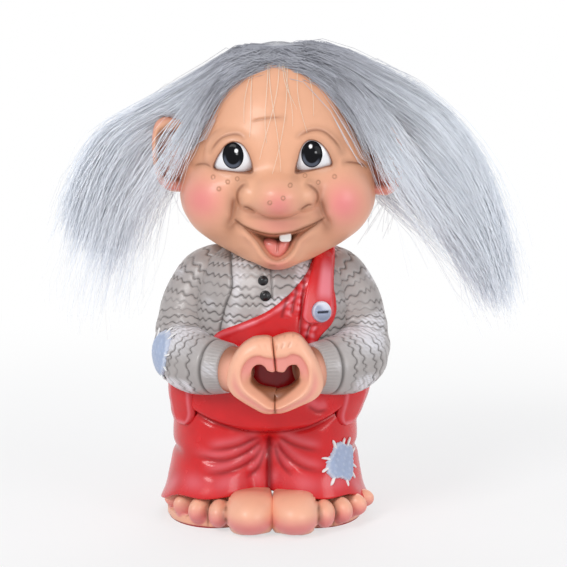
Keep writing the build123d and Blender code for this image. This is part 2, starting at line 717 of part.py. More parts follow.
def make_head():
    head = HEAD_FORM + ball(head_place(1, *NOSE_PLACE_SHARES), NOSE_RADII)
    for side in (-1, 1):
        head += ball(head_place(side, *NOSTRIL_PLACE_SHARES), NOSTRIL_RADII)
        head += ball(head_place(side, *CHEEK_PLACE_SHARES), CHEEK_RADII)
    for side in (-1, 1):
        head -= eye_ball(side)
        head -= ear_tenon(side, PEG_CLEARANCE)
    return head - mouth_space() - TORSO_FORM - neck_peg(PEG_CLEARANCE)


def make_tongue():
    x, z = HEAD_SHIFT + MOUTH_SHIFT, CHIN_Z + MOUTH_Z_SHARE * HEAD_HEIGHT
    centre = (x, MOUTH_FLOOR_SHARE * HEAD_HALF_DEPTH, z - TONGUE_DROP_SHARE * MOUTH_DROP)
    return main_solid((ball(centre, TONGUE_RADII) & mouth_space()) - make_tooth())


def make_tooth():
    x, z = HEAD_SHIFT + MOUTH_SHIFT + TOOTH_OFFSET, CHIN_Z + MOUTH_Z_SHARE * HEAD_HEIGHT - LIP_SAG
    y = MOUTH_FLOOR_SHARE * HEAD_HALF_DEPTH - TOOTH_DEPTH / 2
    return Pos(x, y, z) * Box(TOOTH_WIDTH, TOOTH_DEPTH, TOOTH_HEIGHT * 2) & mouth_space()


# Wig: a fur cap glued over the back of the head, with locks combed out to each side and down the back
CAP_THICKNESS = 2.6
CAP_TOP_SHARE = -0.58
CAP_FOOT_SHARES = (0.28, 0.13)
LEFT_LOCK_SHARES = [
    (-0.130, 0.05, 0.900, 0.000, 0.00),
    (-0.350, 0.00, 0.910, 0.090, 0.40),
    (-0.640, -0.07, 0.850, 0.150, 0.50),
    (-0.965, -0.07, 0.725, 0.205, 0.52),
    (-1.480, 0.14, 0.502, 0.235, 0.36),
    (-1.770, 0.12, 0.264, 0.220, 0.30),
    (-1.900, 0.08, 0.056, 0.185, 0.24),
    (-2.000, 0.04, -0.122, 0.110, 0.16),
    (-2.060, 0.02, -0.256, 0.000, 0.00),
]
RIGHT_LOCK_SHARES = [
    (0.000, 0.05, 0.900, 0.000, 0.00),
    (0.260, 0.00, 0.915, 0.100, 0.40),
    (0.713, -0.07, 0.844, 0.163, 0.52),
    (1.165, 0.00, 0.680, 0.215, 0.48),
    (1.620, 0.12, 0.487, 0.215, 0.36),
    (1.874, 0.11, 0.324, 0.186, 0.30),
    (2.130, 0.08, 0.130, 0.134, 0.23),
    (2.330, 0.04, -0.092, 0.075, 0.15),
    (2.500, 0.02, -0.330, 0.000, 0.00),
]
BACK_LOCK_SHARES = [
    (0.000, 0.00, 0.900, 0.000, 0.00),
    (0.000, 0.18, 0.950, 0.210, 0.17),
    (0.000, 0.62, 0.874, 0.300, 0.17),
    (0.000, 0.91, 0.725, 0.370, 0.17),
    (0.000, 1.12, 0.487, 0.410, 0.17),
    (0.000, 1.16, 0.264, 0.390, 0.15),
    (0.000, 1.06, 0.086, 0.320, 0.10),
]


def lock_shape(shares):
    """A lock of hair. Its middle is in shares of the head's half width, half depth and height. Its own half
    width is a share of the head's height, and its half thickness a share of the head's half depth."""
    points = [head_place(1, across, ahead, up) for across, ahead, up, _, _ in shares]
    return tube(points, [(wide * HEAD_HEIGHT, deep * HEAD_HALF_DEPTH) for *_, wide, deep in shares])


def make_wig():
    """The cap and its three locks. The cap lies behind a hairline that slopes back to the nape."""
    top_z = CHIN_Z + HEAD_HEIGHT + CAP_THICKNESS
    hairline = [
        (CAP_TOP_SHARE * HEAD_HALF_DEPTH, top_z),
        (CAP_FOOT_SHARES[0] * HEAD_HALF_DEPTH, CHIN_Z + CAP_FOOT_SHARES[1] * HEAD_HEIGHT),
        (OVERRUN, CHIN_Z + CAP_FOOT_SHARES[1] * HEAD_HEIGHT),
        (OVERRUN, top_z),
    ]
    behind = extrude(Plane.YZ * make_face(polygon(hairline)), OVERRUN, both=True)
    covered = cast_shape(HEAD_LEVELS, CAP_THICKNESS)
    ears = [ear_form(side) for side in (-1, 1)]
    cap = main_solid((covered & behind) - HEAD_FORM - ears[0] - ears[1])
    left, right, back = map(lock_shape, (LEFT_LOCK_SHARES, RIGHT_LOCK_SHARES, BACK_LOCK_SHARES))
    return (
        cap,
        main_solid(left - covered - ears[0]),
        main_solid(right - covered - ears[1] - left),
        main_solid(back - covered - left - right),
    )


# The pieces that others lie on come first
pads = make_felt_pads()
feet = [make_foot(side, pads) for side in (-1, 1)]
bib = make_bib()
strap = make_strap(bib)
elbow_patch, elbow_stitches = make_elbow_patch()
knee_patch, knee_stitches = make_knee_patch()
cap, left_lock, right_lock, back_lock = make_wig()
nodes = {
    "felt_pads": pads,
    "left_foot": feet[0] + foot_peg(-1),
    "right_foot": feet[1] + foot_peg(1),
    "trousers": make_trousers(feet),
    "left_pocket": make_pocket(-1),
    "right_pocket": make_pocket(1),
    "knee_patch": knee_patch,
    "knee_stitches": knee_stitches,
    "jumper_body": make_torso(),
    "left_sleeve": make_sleeve(-1),
    "right_sleeve": make_sleeve(1),
    "elbow_patch": elbow_patch,
    "elbow_stitches": elbow_stitches,
    "bib": bib,
    "shoulder_strap": strap,
    "strap_button": make_strap_button(strap),
    "jumper_buttons": make_jumper_buttons(),
    "left_hand": make_hand(-1),
    "right_hand": make_hand(1),
    "head": make_head(),
    "left_ear": make_ear(-1),
    "right_ear": make_ear(1),
    "left_eye": eye_ball(-1),
    "right_eye": eye_ball(1),
    "left_pupil": make_pupil(-1),
    "right_pupil": make_pupil(1),
    "tongue": make_tongue(),
    "tooth": make_tooth(),
    "wig_cap": cap,
    "hair_left": left_lock,
    "hair_right": right_lock,
    "hair_back": back_lock,
}
os.makedirs("parts", exist_ok=True)
for name, shape in nodes.items():
    export_step(shape, f"parts/{name}.step")
    print(name, len(shape.solids()), round(shape.volume, 1))
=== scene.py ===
"""Standing folk troll figure in dungarees and a knitted jumper: cast, hand painted, with a fur wig.

The pieces are drawn in the part's own frame: Z up, the figure faces -Y. Sizes are in millimetres until the
points go into a mesh. They follow in the order in which the figure is put together, from the feet up.
"""

import math

import bpy
import numpy as np
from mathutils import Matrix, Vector


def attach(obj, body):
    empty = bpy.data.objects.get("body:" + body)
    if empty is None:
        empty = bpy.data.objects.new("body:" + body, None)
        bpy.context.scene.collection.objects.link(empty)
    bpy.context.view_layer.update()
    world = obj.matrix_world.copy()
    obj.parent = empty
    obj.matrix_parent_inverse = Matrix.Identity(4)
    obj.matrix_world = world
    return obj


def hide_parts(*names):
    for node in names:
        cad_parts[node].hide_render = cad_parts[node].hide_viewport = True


MM = 0.001
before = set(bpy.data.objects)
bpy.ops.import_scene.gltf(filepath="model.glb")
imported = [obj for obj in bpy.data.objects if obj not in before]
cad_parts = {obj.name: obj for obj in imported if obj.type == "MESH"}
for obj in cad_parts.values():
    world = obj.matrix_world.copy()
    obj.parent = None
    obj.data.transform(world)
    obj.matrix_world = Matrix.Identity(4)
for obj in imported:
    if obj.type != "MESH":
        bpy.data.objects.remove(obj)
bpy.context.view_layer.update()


# Camera, lamps and floor: a product photo on white, taken from 600 mm away and 8 degrees above. A soft lamp
# stands at the upper left, a weaker one at the right and a wide one behind, over a pale floor that fades into
# the white backdrop.
VIEW_TARGET = Vector((3.7, 0.0, 74.3)) * MM
VIEW_DISTANCE = 600 * MM
VIEW_RISE = math.radians(8)

camera = bpy.data.objects.new("camera", bpy.data.cameras.new("camera"))
camera.data.sensor_width = 36
camera.data.lens = 119.05
camera.location = VIEW_TARGET + VIEW_DISTANCE * Vector((0, -math.cos(VIEW_RISE), math.sin(VIEW_RISE)))
camera.rotation_euler = (VIEW_TARGET - camera.location).to_track_quat("-Z", "Y").to_euler()
bpy.context.scene.collection.objects.link(camera)
bpy.context.scene.camera = camera
bpy.context.scene.view_settings.view_transform = "Standard"

for name, place, width, watts in [
    ("key_lamp", (-0.42, -0.62, 0.62), 0.30, 3.3),
    ("fill_lamp", (0.62, -0.60, 0.30), 0.36, 1.7),
    ("back_lamp", (0.05, 0.60, 0.70), 0.50, 1.8),
]:
    lamp = bpy.data.objects.new(name, bpy.data.lights.new(name, "AREA"))
    lamp.data.size = width
    lamp.data.energy = watts
    lamp.location = place
    lamp.rotation_euler = (VIEW_TARGET - lamp.location).to_track_quat("-Z", "Y").to_euler()
    bpy.context.scene.collection.objects.link(lamp)


def seen_directly(tree):
    """1 for rays that show the backdrop itself: straight from the camera, mirrored or through glass."""
    path = tree.nodes.new("ShaderNodeLightPath")
    total = path.outputs["Is Camera Ray"]
    for other in ("Is Glossy Ray", "Is Transmission Ray"):
        larger = tree.nodes.new("ShaderNodeMath")
        larger.operation = "MAXIMUM"
        tree.links.new(total, larger.inputs[0])
        tree.links.new(path.outputs[other], larger.inputs[1])
        total = larger.outputs[0]
    return total


world = bpy.data.worlds.new("white_studio")
world.use_nodes = True
bpy.context.scene.world = world
tree = world.node_tree
tree.nodes.clear()
room, backdrop, either, output = (
    tree.nodes.new("ShaderNode" + kind) for kind in ("Background", "Background", "MixShader", "OutputWorld")
)
room.inputs["Color"].default_value = (0.97, 0.98, 1.0, 1)
room.inputs["Strength"].default_value = 0.56
backdrop.inputs["Color"].default_value = (1, 1, 1, 1)
tree.links.new(seen_directly(tree), either.inputs["Fac"])
tree.links.new(room.outputs[0], either.inputs[1])
tree.links.new(backdrop.outputs[0], either.inputs[2])
tree.links.new(either.outputs[0], output.inputs["Surface"])


def full_turn(count, start=0.0):
    """Angles spread evenly round a full turn from start, which isn't repeated at the end."""
    return np.linspace(start, start + 2 * math.pi, count, endpoint=False)


FLOOR_RADIUS = 900
FLOOR_SIDES = 96
FLOOR_FADE = (90.0, 420.0)
FLOOR_GLOW = (0.62, 1.0)
turn = full_turn(FLOOR_SIDES)
rim = np.stack([np.cos(turn), np.sin(turn), 0 * turn], -1) * FLOOR_RADIUS * MM
floor_mesh = bpy.data.meshes.new("floor")
floor_mesh.from_pydata(rim.tolist(), [], [list(range(FLOOR_SIDES))])
floor = bpy.data.objects.new("floor", floor_mesh)
bpy.context.scene.collection.objects.link(floor)
paper = bpy.data.materials.new("white_paper")
paper.use_nodes = True
tree = paper.node_tree
tree.nodes.clear()
matt, glow, either, output = (
    tree.nodes.new("ShaderNode" + kind) for kind in ("BsdfDiffuse", "Emission", "MixShader", "OutputMaterial")
)
where = tree.nodes.new("ShaderNodeTexCoord")
far = tree.nodes.new("ShaderNodeVectorMath")
far.operation = "LENGTH"
fade = tree.nodes.new("ShaderNodeMapRange")
fade.interpolation_type = "SMOOTHSTEP"
fade.inputs["From Min"].default_value, fade.inputs["From Max"].default_value = (mm * MM for mm in FLOOR_FADE)
fade.inputs["To Min"].default_value, fade.inputs["To Max"].default_value = FLOOR_GLOW
share = tree.nodes.new("ShaderNodeMath")
share.operation = "MULTIPLY"
matt.inputs["Color"].default_value = (0.86, 0.86, 0.87, 1)
tree.links.new(where.outputs["Object"], far.inputs[0])
tree.links.new(far.outputs["Value"], fade.inputs["Value"])
tree.links.new(fade.outputs[0], share.inputs[0])
tree.links.new(seen_directly(tree), share.inputs[1])
tree.links.new(share.outputs[0], either.inputs["Fac"])
tree.links.new(matt.outputs[0], either.inputs[1])
tree.links.new(glow.outputs[0], either.inputs[2])
tree.links.new(either.outputs[0], output.inputs["Surface"])
floor.data.materials.append(paper)


# Felt pads: two ovals of red felt under the soles, let into them and a little proud, which keep the resin off
# the shelf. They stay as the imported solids, with a fibrous felt finish.
def painted(name, base, layers=(), *, roughness, mottle, mottle_scale, grain=0.08, grain_scale=900.0,
            coat=0.0, sheen=0.0, gloss=0.5):
    """A paint: a base colour broken up by a soft mottle, with layers laid over it one after another. A layer
    is (attribute, colour) and covers by the attribute's value. A fine noise raises the brush grain."""
    material = bpy.data.materials.new(name)
    material.use_nodes = True
    tree = material.node_tree
    paint = tree.nodes["Principled BSDF"]
    where = tree.nodes.new("ShaderNodeTexCoord")

    def noise(scale, detail):
        """A cloudy noise in the piece's own space."""
        cloud = tree.nodes.new("ShaderNodeTexNoise")
        cloud.inputs["Scale"].default_value = scale
        cloud.inputs["Detail"].default_value = detail
        tree.links.new(where.outputs["Object"], cloud.inputs["Vector"])
        return cloud.outputs["Fac"]

    cloud = noise(mottle_scale, 4)
    tone = tree.nodes.new("ShaderNodeMix")
    tone.data_type = "RGBA"
    dark, light = (tuple(min(c * (1 + way * mottle), 1) for c in base) + (1,) for way in (-2, 2))
    tone.inputs["A"].default_value, tone.inputs["B"].default_value = dark, light
    tree.links.new(cloud, tone.inputs["Factor"])
    colour = tone.outputs["Result"]
    for attribute, shade in layers:
        mask = tree.nodes.new("ShaderNodeAttribute")
        mask.attribute_name = attribute
        over = tree.nodes.new("ShaderNodeMix")
        over.data_type = "RGBA"
        over.inputs["B"].default_value = (*shade, 1)
        tree.links.new(mask.outputs["Fac"], over.inputs["Factor"])
        tree.links.new(colour, over.inputs["A"])
        colour = over.outputs["Result"]
    tree.links.new(colour, paint.inputs["Base Color"])
    raised = tree.nodes.new("ShaderNodeBump")
    raised.inputs["Strength"].default_value = grain
    raised.inputs["Distance"].default_value = 0.3 * MM
    tree.links.new(noise(grain_scale, 3), raised.inputs["Height"])
    tree.links.new(raised.outputs["Normal"], paint.inputs["Normal"])
    worn = tree.nodes.new("ShaderNodeMapRange")
    worn.inputs["To Min"].default_value = max(roughness - 0.08, 0.02)
    worn.inputs["To Max"].default_value = roughness + 0.1
    tree.links.new(cloud, worn.inputs["Value"])
    tree.links.new(worn.outputs[0], paint.inputs["Roughness"])
    paint.inputs["Coat Weight"].default_value = coat
    paint.inputs["Coat Roughness"].default_value = 0.12
    paint.inputs["Sheen Weight"].default_value = sheen
    paint.inputs["Specular IOR Level"].default_value = gloss
    return material


FELT_RED = (0.42, 0.025, 0.04)
felt = painted("red_felt", FELT_RED, roughness=0.9, mottle=0.12, mottle_scale=900, grain=0.9,
               grain_scale=2600, sheen=0.4)
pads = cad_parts["felt_pads"]
pads.data.materials.clear()
pads.data.materials.append(felt)


# Feet: cast in one with a round instep and five toes each, the big toes like two apples that touch in the
# middle. Painted in a lighter copy of the skin colour, which stands in for the light they get, rosy at the
# tips, with painted shade in the gaps between the toes and a painted shadow under the trouser hem. Pegged
# up into the trouser legs.
SOLE_Z = 0.4
SOLE_TOP = 3.0
BALL_OF_FOOT = (-21.0, 5.8)
BALL_OF_FOOT_RADII = (6.3, 9.5, 6.0)
FOOT_CENTRES = ((-14.5, -6.0, 4.6), (14.2, -6.0, 4.6))
FOOT_SOLES = ((-17.95, -1.3, 17.4, 23.4), (13.35, -1.3, 17.4, 23.4))
FOOT_INSTEPS = ((-15.5, -14.0, 9.6, 12.0), (14.0, -14.0, 9.6, 12.0))
BIG_TOES = ((-6.7, -29.6, 6.4), (7.2, -29.6, 6.4))
BIG_TOE_RADII = (6.95, 8.9, 5.8)
SMALL_TOES = (
    (
        (-16.4, -24.4, 5.3, 0.96), (-22.3, -19.8, 5.4, 0.92), (-26.8, -14.2, 5.7, 0.82),
        (-30.4, -8.2, 6.2, 0.68),
    ),
    (
        (16.4, -24.6, 5.3, 0.96), (21.7, -20.2, 5.4, 0.90), (25.9, -14.6, 5.7, 0.80), (28.9, -8.8, 6.2, 0.64),
    ),
)
SMALL_TOE_RADII = (3.5, 6.0, 4.6)
SKIN = (0.80, 0.41, 0.25)
PALE_SKIN = (0.93, 0.48, 0.32)
# Brown for the freckle rings, and for painted shade in the creases, gaps and hollows of the skin.
SKIN_WASH = (0.23, 0.075, 0.03)
ROSY = (0.80, 0.22, 0.23)


def turned(points, angle):
    """Points turned about the upright through the origin, clockwise as seen from above."""
    c, s = math.cos(angle), math.sin(angle)
    x, y = points[..., 0], points[..., 1]
    return np.stack([x * c + y * s, y * c - x * s, points[..., 2]], -1)


def ball_field(points, centre, radii, turn=0.0):
    """How far points lie outside a ball with its own radius along each axis, about, in millimetres: the
    length of the offset measured in radii, less one, times the smallest radius. The ball may be turned on
    its spot."""
    offset = points - np.asarray(centre)
    if turn:
        offset = turned(offset, turn)
    return (np.linalg.norm(offset / np.asarray(radii), axis=-1) - 1) * min(radii)


def melted(fields, softness):
    """The union of several forms with its inner corners filled: a soft minimum of their fields."""
    stack = np.stack(fields)
    lowest = stack.min(0)
    return lowest - softness * np.log(np.exp((lowest - stack) / softness).sum(0))


def outermost(field, centre, ways, near, far, steps=56):
    """How far out along each way from the centre the form last ends. It comes in from far in even steps until
    the field is negative, then halves that step until it has the surface."""
    reach = np.linspace(far, near, steps)
    outside = np.full(ways.shape[:-1], float(far))
    inside = np.full(ways.shape[:-1], float(near))
    found = np.zeros(ways.shape[:-1], bool)
    for outer, inner in zip(reach, reach[1:]):
        hit = ~found & (field(centre + ways * inner) < 0)
        outside[hit], inside[hit] = outer, inner
        found |= hit
    for _ in range(13):
        middle = (inside + outside) / 2
        within = field(centre + ways * middle[..., None]) < 0
        inside, outside = np.where(within, middle, inside), np.where(within, outside, middle)
    return inside


def fan(rows, columns, axis):
    """Unit ways out of a centre: rows are angles from the axis, columns turn round it. axis is "front" (-Y)
    or "up" (+Z)."""
    away = np.asarray(rows)[:, None]
    around = full_turn(columns)[None, :]
    along = np.cos(away) + 0 * around
    first, second = np.sin(away) * np.cos(around), np.sin(away) * np.sin(around)
    return np.stack([first, -along, second] if axis == "front" else [first, second, along], -1)


def grid_faces(rows, columns, around):
    """The four-sided faces between neighbouring rows and columns of a grid, closed round where asked."""
    last = columns if around else columns - 1
    row, column = np.meshgrid(np.arange(rows - 1), np.arange(last), indexing="ij")
    after = (column + 1) % columns
    low, high = row * columns, (row + 1) * columns
    return np.stack([low + column, low + after, high + after, high + column], -1).reshape(-1, 4)


def closed_rings(rings):
    """Points, four-sided faces and end triangles of a skin through rings, its two end rings closed to a
    point."""
    rows, columns, _ = rings.shape
    points = np.concatenate([rings.reshape(-1, 3), rings[:1].mean(1), rings[-1:].mean(1)])
    column = np.arange(columns)
    after = (column + 1) % columns
    first, last, top = rows * columns, rows * columns + 1, (rows - 1) * columns
    ends = np.concatenate([
        np.stack([np.full(columns, first), after, column], -1),
        np.stack([np.full(columns, last), top + column, top + after], -1),
    ])
    return points, grid_faces(rows, columns, True), ends


def ring_mask(mask):
    """A paint mask on rings, with the two end points added."""
    return np.concatenate([mask.ravel(), [mask[0].mean(), mask[-1].mean()]])


def add_piece(name, points, quads, triangles=(), **masks):
    """Puts points and faces into a new mesh, with its faces turned outwards and a paint mask for each coat.
    The sum of the faces' signed cone volumes tells which way they face."""
    points = np.asarray(points, float)
    quads, triangles = np.reshape(quads, (-1, 4)).astype(int), np.reshape(triangles, (-1, 3)).astype(int)
    halves = np.concatenate([quads[:, :3], quads[:, [0, 2, 3]], triangles])
    a, b, c = (points[halves[:, corner]] for corner in range(3))
    if (a * np.cross(b, c)).sum() < 0:
        quads, triangles = quads[:, ::-1], triangles[:, ::-1]
    corners = np.concatenate([quads.ravel(), triangles.ravel()]).astype(np.int32)
    starts = np.concatenate([np.arange(len(quads)) * 4, len(quads) * 4 + np.arange(len(triangles)) * 3])
    mesh = bpy.data.meshes.new(name)
    mesh.vertices.add(len(points))
    mesh.vertices.foreach_set("co", (points * MM).astype(np.float32).ravel())
    mesh.loops.add(len(corners))
    mesh.loops.foreach_set("vertex_index", corners)
    mesh.polygons.add(len(starts))
    mesh.polygons.foreach_set("loop_start", starts.astype(np.int32))
    mesh.update(calc_edges=True)
    mesh.validate()
    mesh.shade_smooth()
    for coat, mask in masks.items():
        layer = mesh.attributes.new(coat, "FLOAT", "POINT")
        layer.data.foreach_set("value", np.clip(mask, 0, 1).astype(np.float32).ravel())
    piece = bpy.data.objects.new(name, mesh)
    bpy.context.scene.collection.objects.link(piece)
    return piece


def fit(piece, material, slot, *nodes):
    """Gives a piece its finish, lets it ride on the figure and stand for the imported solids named."""
    piece.data.materials.append(material)
    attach(piece, "root")
    if nodes:
        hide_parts(*nodes)


def cast(name, rings, material, slot, *nodes, **masks):
    """A finished piece that is one closed skin through rings, with a paint mask on them for each coat."""
    points, quads, ends = closed_rings(rings)
    piece = add_piece(name, points, quads, ends, **{coat: ring_mask(mask) for coat, mask in masks.items()})
    fit(piece, material, slot, *nodes)


def rise(value, low, high):
    """0 up to low, 1 from high, with a smooth step between."""
    t = np.clip((value - low) / (high - low), 0, 1)
    return t * t * (3 - 2 * t)


def bell(value, width):
    """A bell curve: 1 where the value is 0, and 1 / e where it is width."""
    return np.exp(-((value / width) ** 2))


skin_layers = [("rosy", ROSY), ("wash", SKIN_WASH)]
skin_look = {"roughness": 0.42, "mottle": 0.035, "mottle_scale": 160, "grain": 0.05, "coat": 0.12}
# The second paint is a lighter copy of the skin paint for the hands and feet. It is painted light that stands in
# for the light they get.
skin_paint = painted("skin_paint", SKIN, skin_layers, **skin_look)
pale_skin_paint = painted("pale_skin_paint", PALE_SKIN, skin_layers, **skin_look)
for name, centre, sole, instep, big, small in zip(
    ("left_foot", "right_foot"), FOOT_CENTRES, FOOT_SOLES, FOOT_INSTEPS, BIG_TOES, SMALL_TOES
):
    def toes_of(points):
        """How far points lie outside each toe. The small toes are turned away from the foot's centre."""
        found = [ball_field(points, big, BIG_TOE_RADII)]
        for x, y, z, size in small:
            outward = math.atan2(x - centre[0], -(y - centre[1]))
            radii = [size * radius for radius in SMALL_TOE_RADII]
            found.append(ball_field(points, (x, y, z), radii, outward))
        return found

    def foot_field(points):
        """How far points lie outside the foot: its toes, its instep, its oval sole, and a ball of the foot
        with squared sides (sixth powers in place of an ellipsoid's squares)."""
        across = (points[..., 0] - sole[0]) / sole[2]
        ahead = (points[..., 1] - sole[1]) / sole[3]
        flat = np.maximum((np.hypot(across, ahead) - 0.91) * sole[2], points[..., 2] - SOLE_TOP)
        arch = ball_field(points, (instep[0], instep[1], 0.7), (instep[2], instep[2], instep[3]))
        toes = toes_of(points)
        block = (points - np.array((0.93 * big[0], *BALL_OF_FOOT))) / BALL_OF_FOOT_RADII
        ball = 6.2 * ((block**6).sum(-1) ** (1 / 6) - 1)
        toes[0] = melted([toes[0], ball], 1.4)
        return np.maximum(melted([*toes, arch, flat], 0.35), SOLE_Z - points[..., 2])

    ways = fan(np.linspace(0.02, math.pi - 0.02, 130), 190, "up")
    reach = outermost(foot_field, np.array(centre), ways, 2.0, 40.0)
    rings = np.array(centre) + ways * reach[..., None]
    nearest = np.sort(np.stack(toes_of(rings)), axis=0)
    # Painted shade where two toes meet.
    gap = bell(nearest[1] - nearest[0], 1.0) * rise(nearest[1], 2.4, 0.9)
    # A painted shadow where the trouser hem hangs over the feet.
    under_hem = rise(rings[..., 2], 9.0, 13.0) * rise(rings[..., 1], -27.0, -21.0)
    tip = rise(rings[..., 2], 8.5, 3.0) * rise(nearest[0], 0.9, 0.2)
    cast(name + "_cast", rings, pale_skin_paint, "skin_paint", name,
         wash=np.maximum(0.95 * gap, 0.40 * under_hem), rosy=0.85 * tip)


# Trousers: wide dungaree legs under a round belly, cast in one. Glossy red paint, a pale pink dry brush with
# painted highlight on the raised folds, and dark red painted shade in the creases that run out from the
# crotch, under the hem and behind the hands. Pegged to the feet and the torso.
TROUSERS_AXIS = (-2.0, -1.6)
WAIST_Z = 58.4
LEG_ROWS = 146
HEM_INWARD = (6.0, 5.4, 4.2, 1.7, 0.4)
HEM_LIFT = (9.0, 7.0, 3.2, 0.5, 0.0)
LEG_LEVELS = (
    (4.6, 17.3, 23.2, -1.3), (12.1, 16.4, 22.1, -1.2), (20.2, 15.5, 21.0, -0.7), (31.0, 15.5, 21.8, -0.7),
    (40.1, 13.8, 18.6, -1.2),
)
LEG_X = ((-17.95, -17.3, -16.6, -16.0, -15.0), (13.35, 12.6, 12.2, 11.6, 11.0))
BELLY_LEVELS = (
    (4.6, 13.0, 15.5, -1.0, -2.3), (20.0, 15.0, 16.5, -1.0, -2.2), (27.0, 21.0, 17.0, -1.2, -2.2),
    (31.0, 28.4, 21.8, -1.5, -2.1), (36.9, 31.4, 24.4, -1.9, -1.4), (42.8, 32.5, 25.4, -2.0, -0.8),
    (49.8, 31.4, 25.0, -2.0, -0.2), (58.4, 28.8, 23.8, -2.0, 0.0),
)
HEM_CURVE = (
    (-180, 4.7), (-90, 4.7), (-75, 6.6), (-60, 9.4), (-40, 9.5), (-22, 10.5), (0, 10.5), (22, 10.5),
    (40, 9.5), (60, 9.5), (75, 6.0), (90, 4.7), (180, 4.7),
)
TROUSER_FOLDS = (
    (((-3.1, 28.9), (-10.1, 25.8), (-21.5, 24.3)), 0.9, 1.3),
    (((-2.6, 27.8), (-7.1, 23.8), (-15.6, 21.2), (-26.0, 22.5)), 1.1, 1.3),
    (((-2.1, 26.8), (-6.1, 20.7), (-14.1, 17.7), (-23.0, 16.7)), 1.1, 1.4),
    (((-1.4, 26.0), (-4.4, 18.0), (-8.5, 14.8)), 0.8, 1.2),
    (((1.4, 28.9), (6.8, 26.3), (16.8, 23.8)), 0.9, 1.3),
    (((1.4, 27.8), (4.3, 22.8), (9.8, 19.2), (17.8, 17.0)), 1.1, 1.3),
    (((0.8, 26.8), (2.6, 20.0), (7.5, 15.5)), 0.9, 1.3),
    (((10.5, 40.5), (14.0, 37.6), (17.5, 38.0)), 0.6, 1.2),
)
BELLY_CREASE = (
    (-30.0, 38.8), (-22.3, 35.4), (-16.9, 33.3), (-10.0, 31.3), (-3.1, 30.5), (4.3, 30.7), (11.7, 32.1),
    (18.2, 34.9), (22.6, 37.4), (28.5, 40.5),
)
BACK_FOLDS = (
    (((-1.0, 30.0), (-10.0, 26.5), (-20.0, 26.0)), 0.8, 1.6),
    (((-1.0, 30.0), (9.0, 26.5), (18.0, 26.0)), 0.8, 1.6),
    (((-24.0, 14.0), (-14.0, 12.0), (-6.0, 14.5)), 0.7, 1.6),
    (((21.0, 14.0), (11.0, 12.0), (4.0, 14.5)), 0.7, 1.6),
)
RED = (0.66, 0.014, 0.018)
RED_DEEP = (0.16, 0.002, 0.005)
RED_PALE = (0.86, 0.26, 0.31)


def smooth_between(places, values, at):
    """A cubic curve through values at rising places. Its slope at each place comes from the neighbours."""
    places, values = np.asarray(places, float), np.asarray(values, float)
    slopes = np.gradient(values, places)
    at = np.clip(at, places[0], places[-1])
    number = np.clip(np.searchsorted(places, at, side="right") - 1, 0, len(places) - 2)
    width = places[number + 1] - places[number]
    t = (at - places[number]) / width
    return (
        (2 * t**3 - 3 * t**2 + 1) * values[number] + (t**3 - 2 * t**2 + t) * width * slopes[number]
        + (3 * t**2 - 2 * t**3) * values[number + 1] + (t**3 - t**2) * width * slopes[number + 1]
    )


def oval_reach(way_x, way_y, start, centre, half_width, half_depth):
    """How far a level ray from start runs before it leaves an oval, and minus a lot where it misses it. The
    larger root of the ray's quadratic in the oval's own radii."""
    px, py = (start[0] - centre[0]) / half_width, (start[1] - centre[1]) / half_depth
    dx, dy = way_x / half_width, way_y / half_depth
    a, b, c = dx * dx + dy * dy, px * dx + py * dy, px * px + py * py - 1
    root = b * b - a * c
    return np.where(root > 0, (-b + np.sqrt(np.maximum(root, 0))) / a, -50.0)


def outer_edge(reaches, softness):
    """The furthest of several reaches, with the inner corners between them filled: a soft maximum."""
    stack = np.stack(reaches)
    highest = stack.max(0)
    return highest + softness * np.log(np.exp((stack - highest) / softness).sum(0))


def line_distance(x, z, line):
    """The distance from each (x, z) to a curve drawn smoothly through the line's points, in twelve steps
    between each two, and how far along it, from 0 to 1, the nearest place is."""
    line = np.asarray(line, float)
    steps = np.linspace(0, len(line) - 1, (len(line) - 1) * 12 + 1)
    places = np.arange(len(line))
    curve = np.stack([smooth_between(places, column, steps) for column in line.T], -1)
    best, along = np.full(np.shape(x), 1e9), np.zeros(np.shape(x))
    for number, (start, end) in enumerate(zip(curve, curve[1:])):
        run = end - start
        t = np.clip(((x - start[0]) * run[0] + (z - start[1]) * run[1]) / (run @ run), 0, 1)
        gap = np.hypot(x - start[0] - t * run[0], z - start[1] - t * run[1])
        nearer = gap < best
        best = np.where(nearer, gap, best)
        along = np.where(nearer, (number + t) / (len(curve) - 1), along)
    return best, along


def groove(x, z, line, width, ends=0.12):
    """How much of a drawn crease lies at each (x, z), from 0 to 1: a bell curve across it that fades towards
    its two ends."""
    gap, along = line_distance(x, z, line)
    fade = rise(along, 0, ends) * rise(1 - along, 0, ends) if ends else 1.0
    return bell(gap, width) * fade


def at_level(levels, height):
    """The columns of a table of levels, carried smoothly from the heights in its first column to those
    given."""
    columns = np.array(levels).T
    return [smooth_between(columns[0], column, height) for column in columns[1:]]


def trousers_reach(angle, height):
    """How far the trousers stand out from their axis at each angle from the front and each height."""
    way_x, way_y = np.sin(angle), -np.cos(angle)
    half_width, half_depth, back, aside = at_level(BELLY_LEVELS, height)
    reaches = [oval_reach(way_x, way_y, TROUSERS_AXIS, (aside, back), half_width, half_depth)]
    half_width, half_depth, back = at_level(LEG_LEVELS, height)
    thin = 1 - 0.75 * rise(height, 37.0, 42.0)
    for leg_x in LEG_X:
        aside = smooth_between([level[0] for level in LEG_LEVELS], leg_x, height)
        leg = oval_reach(way_x, way_y, TROUSERS_AXIS, (aside, back), half_width * thin, half_depth * thin)
        reaches.append(leg)
    return outer_edge(reaches, 0.9)


def round_axis(axis, angle, reach, height):
    """Places reach out from an upright axis, at each angle from the front and each height."""
    x, y = axis[0] + np.sin(angle) * reach, axis[1] - np.cos(angle) * reach
    return np.stack([x, y, height + 0 * reach], -1)
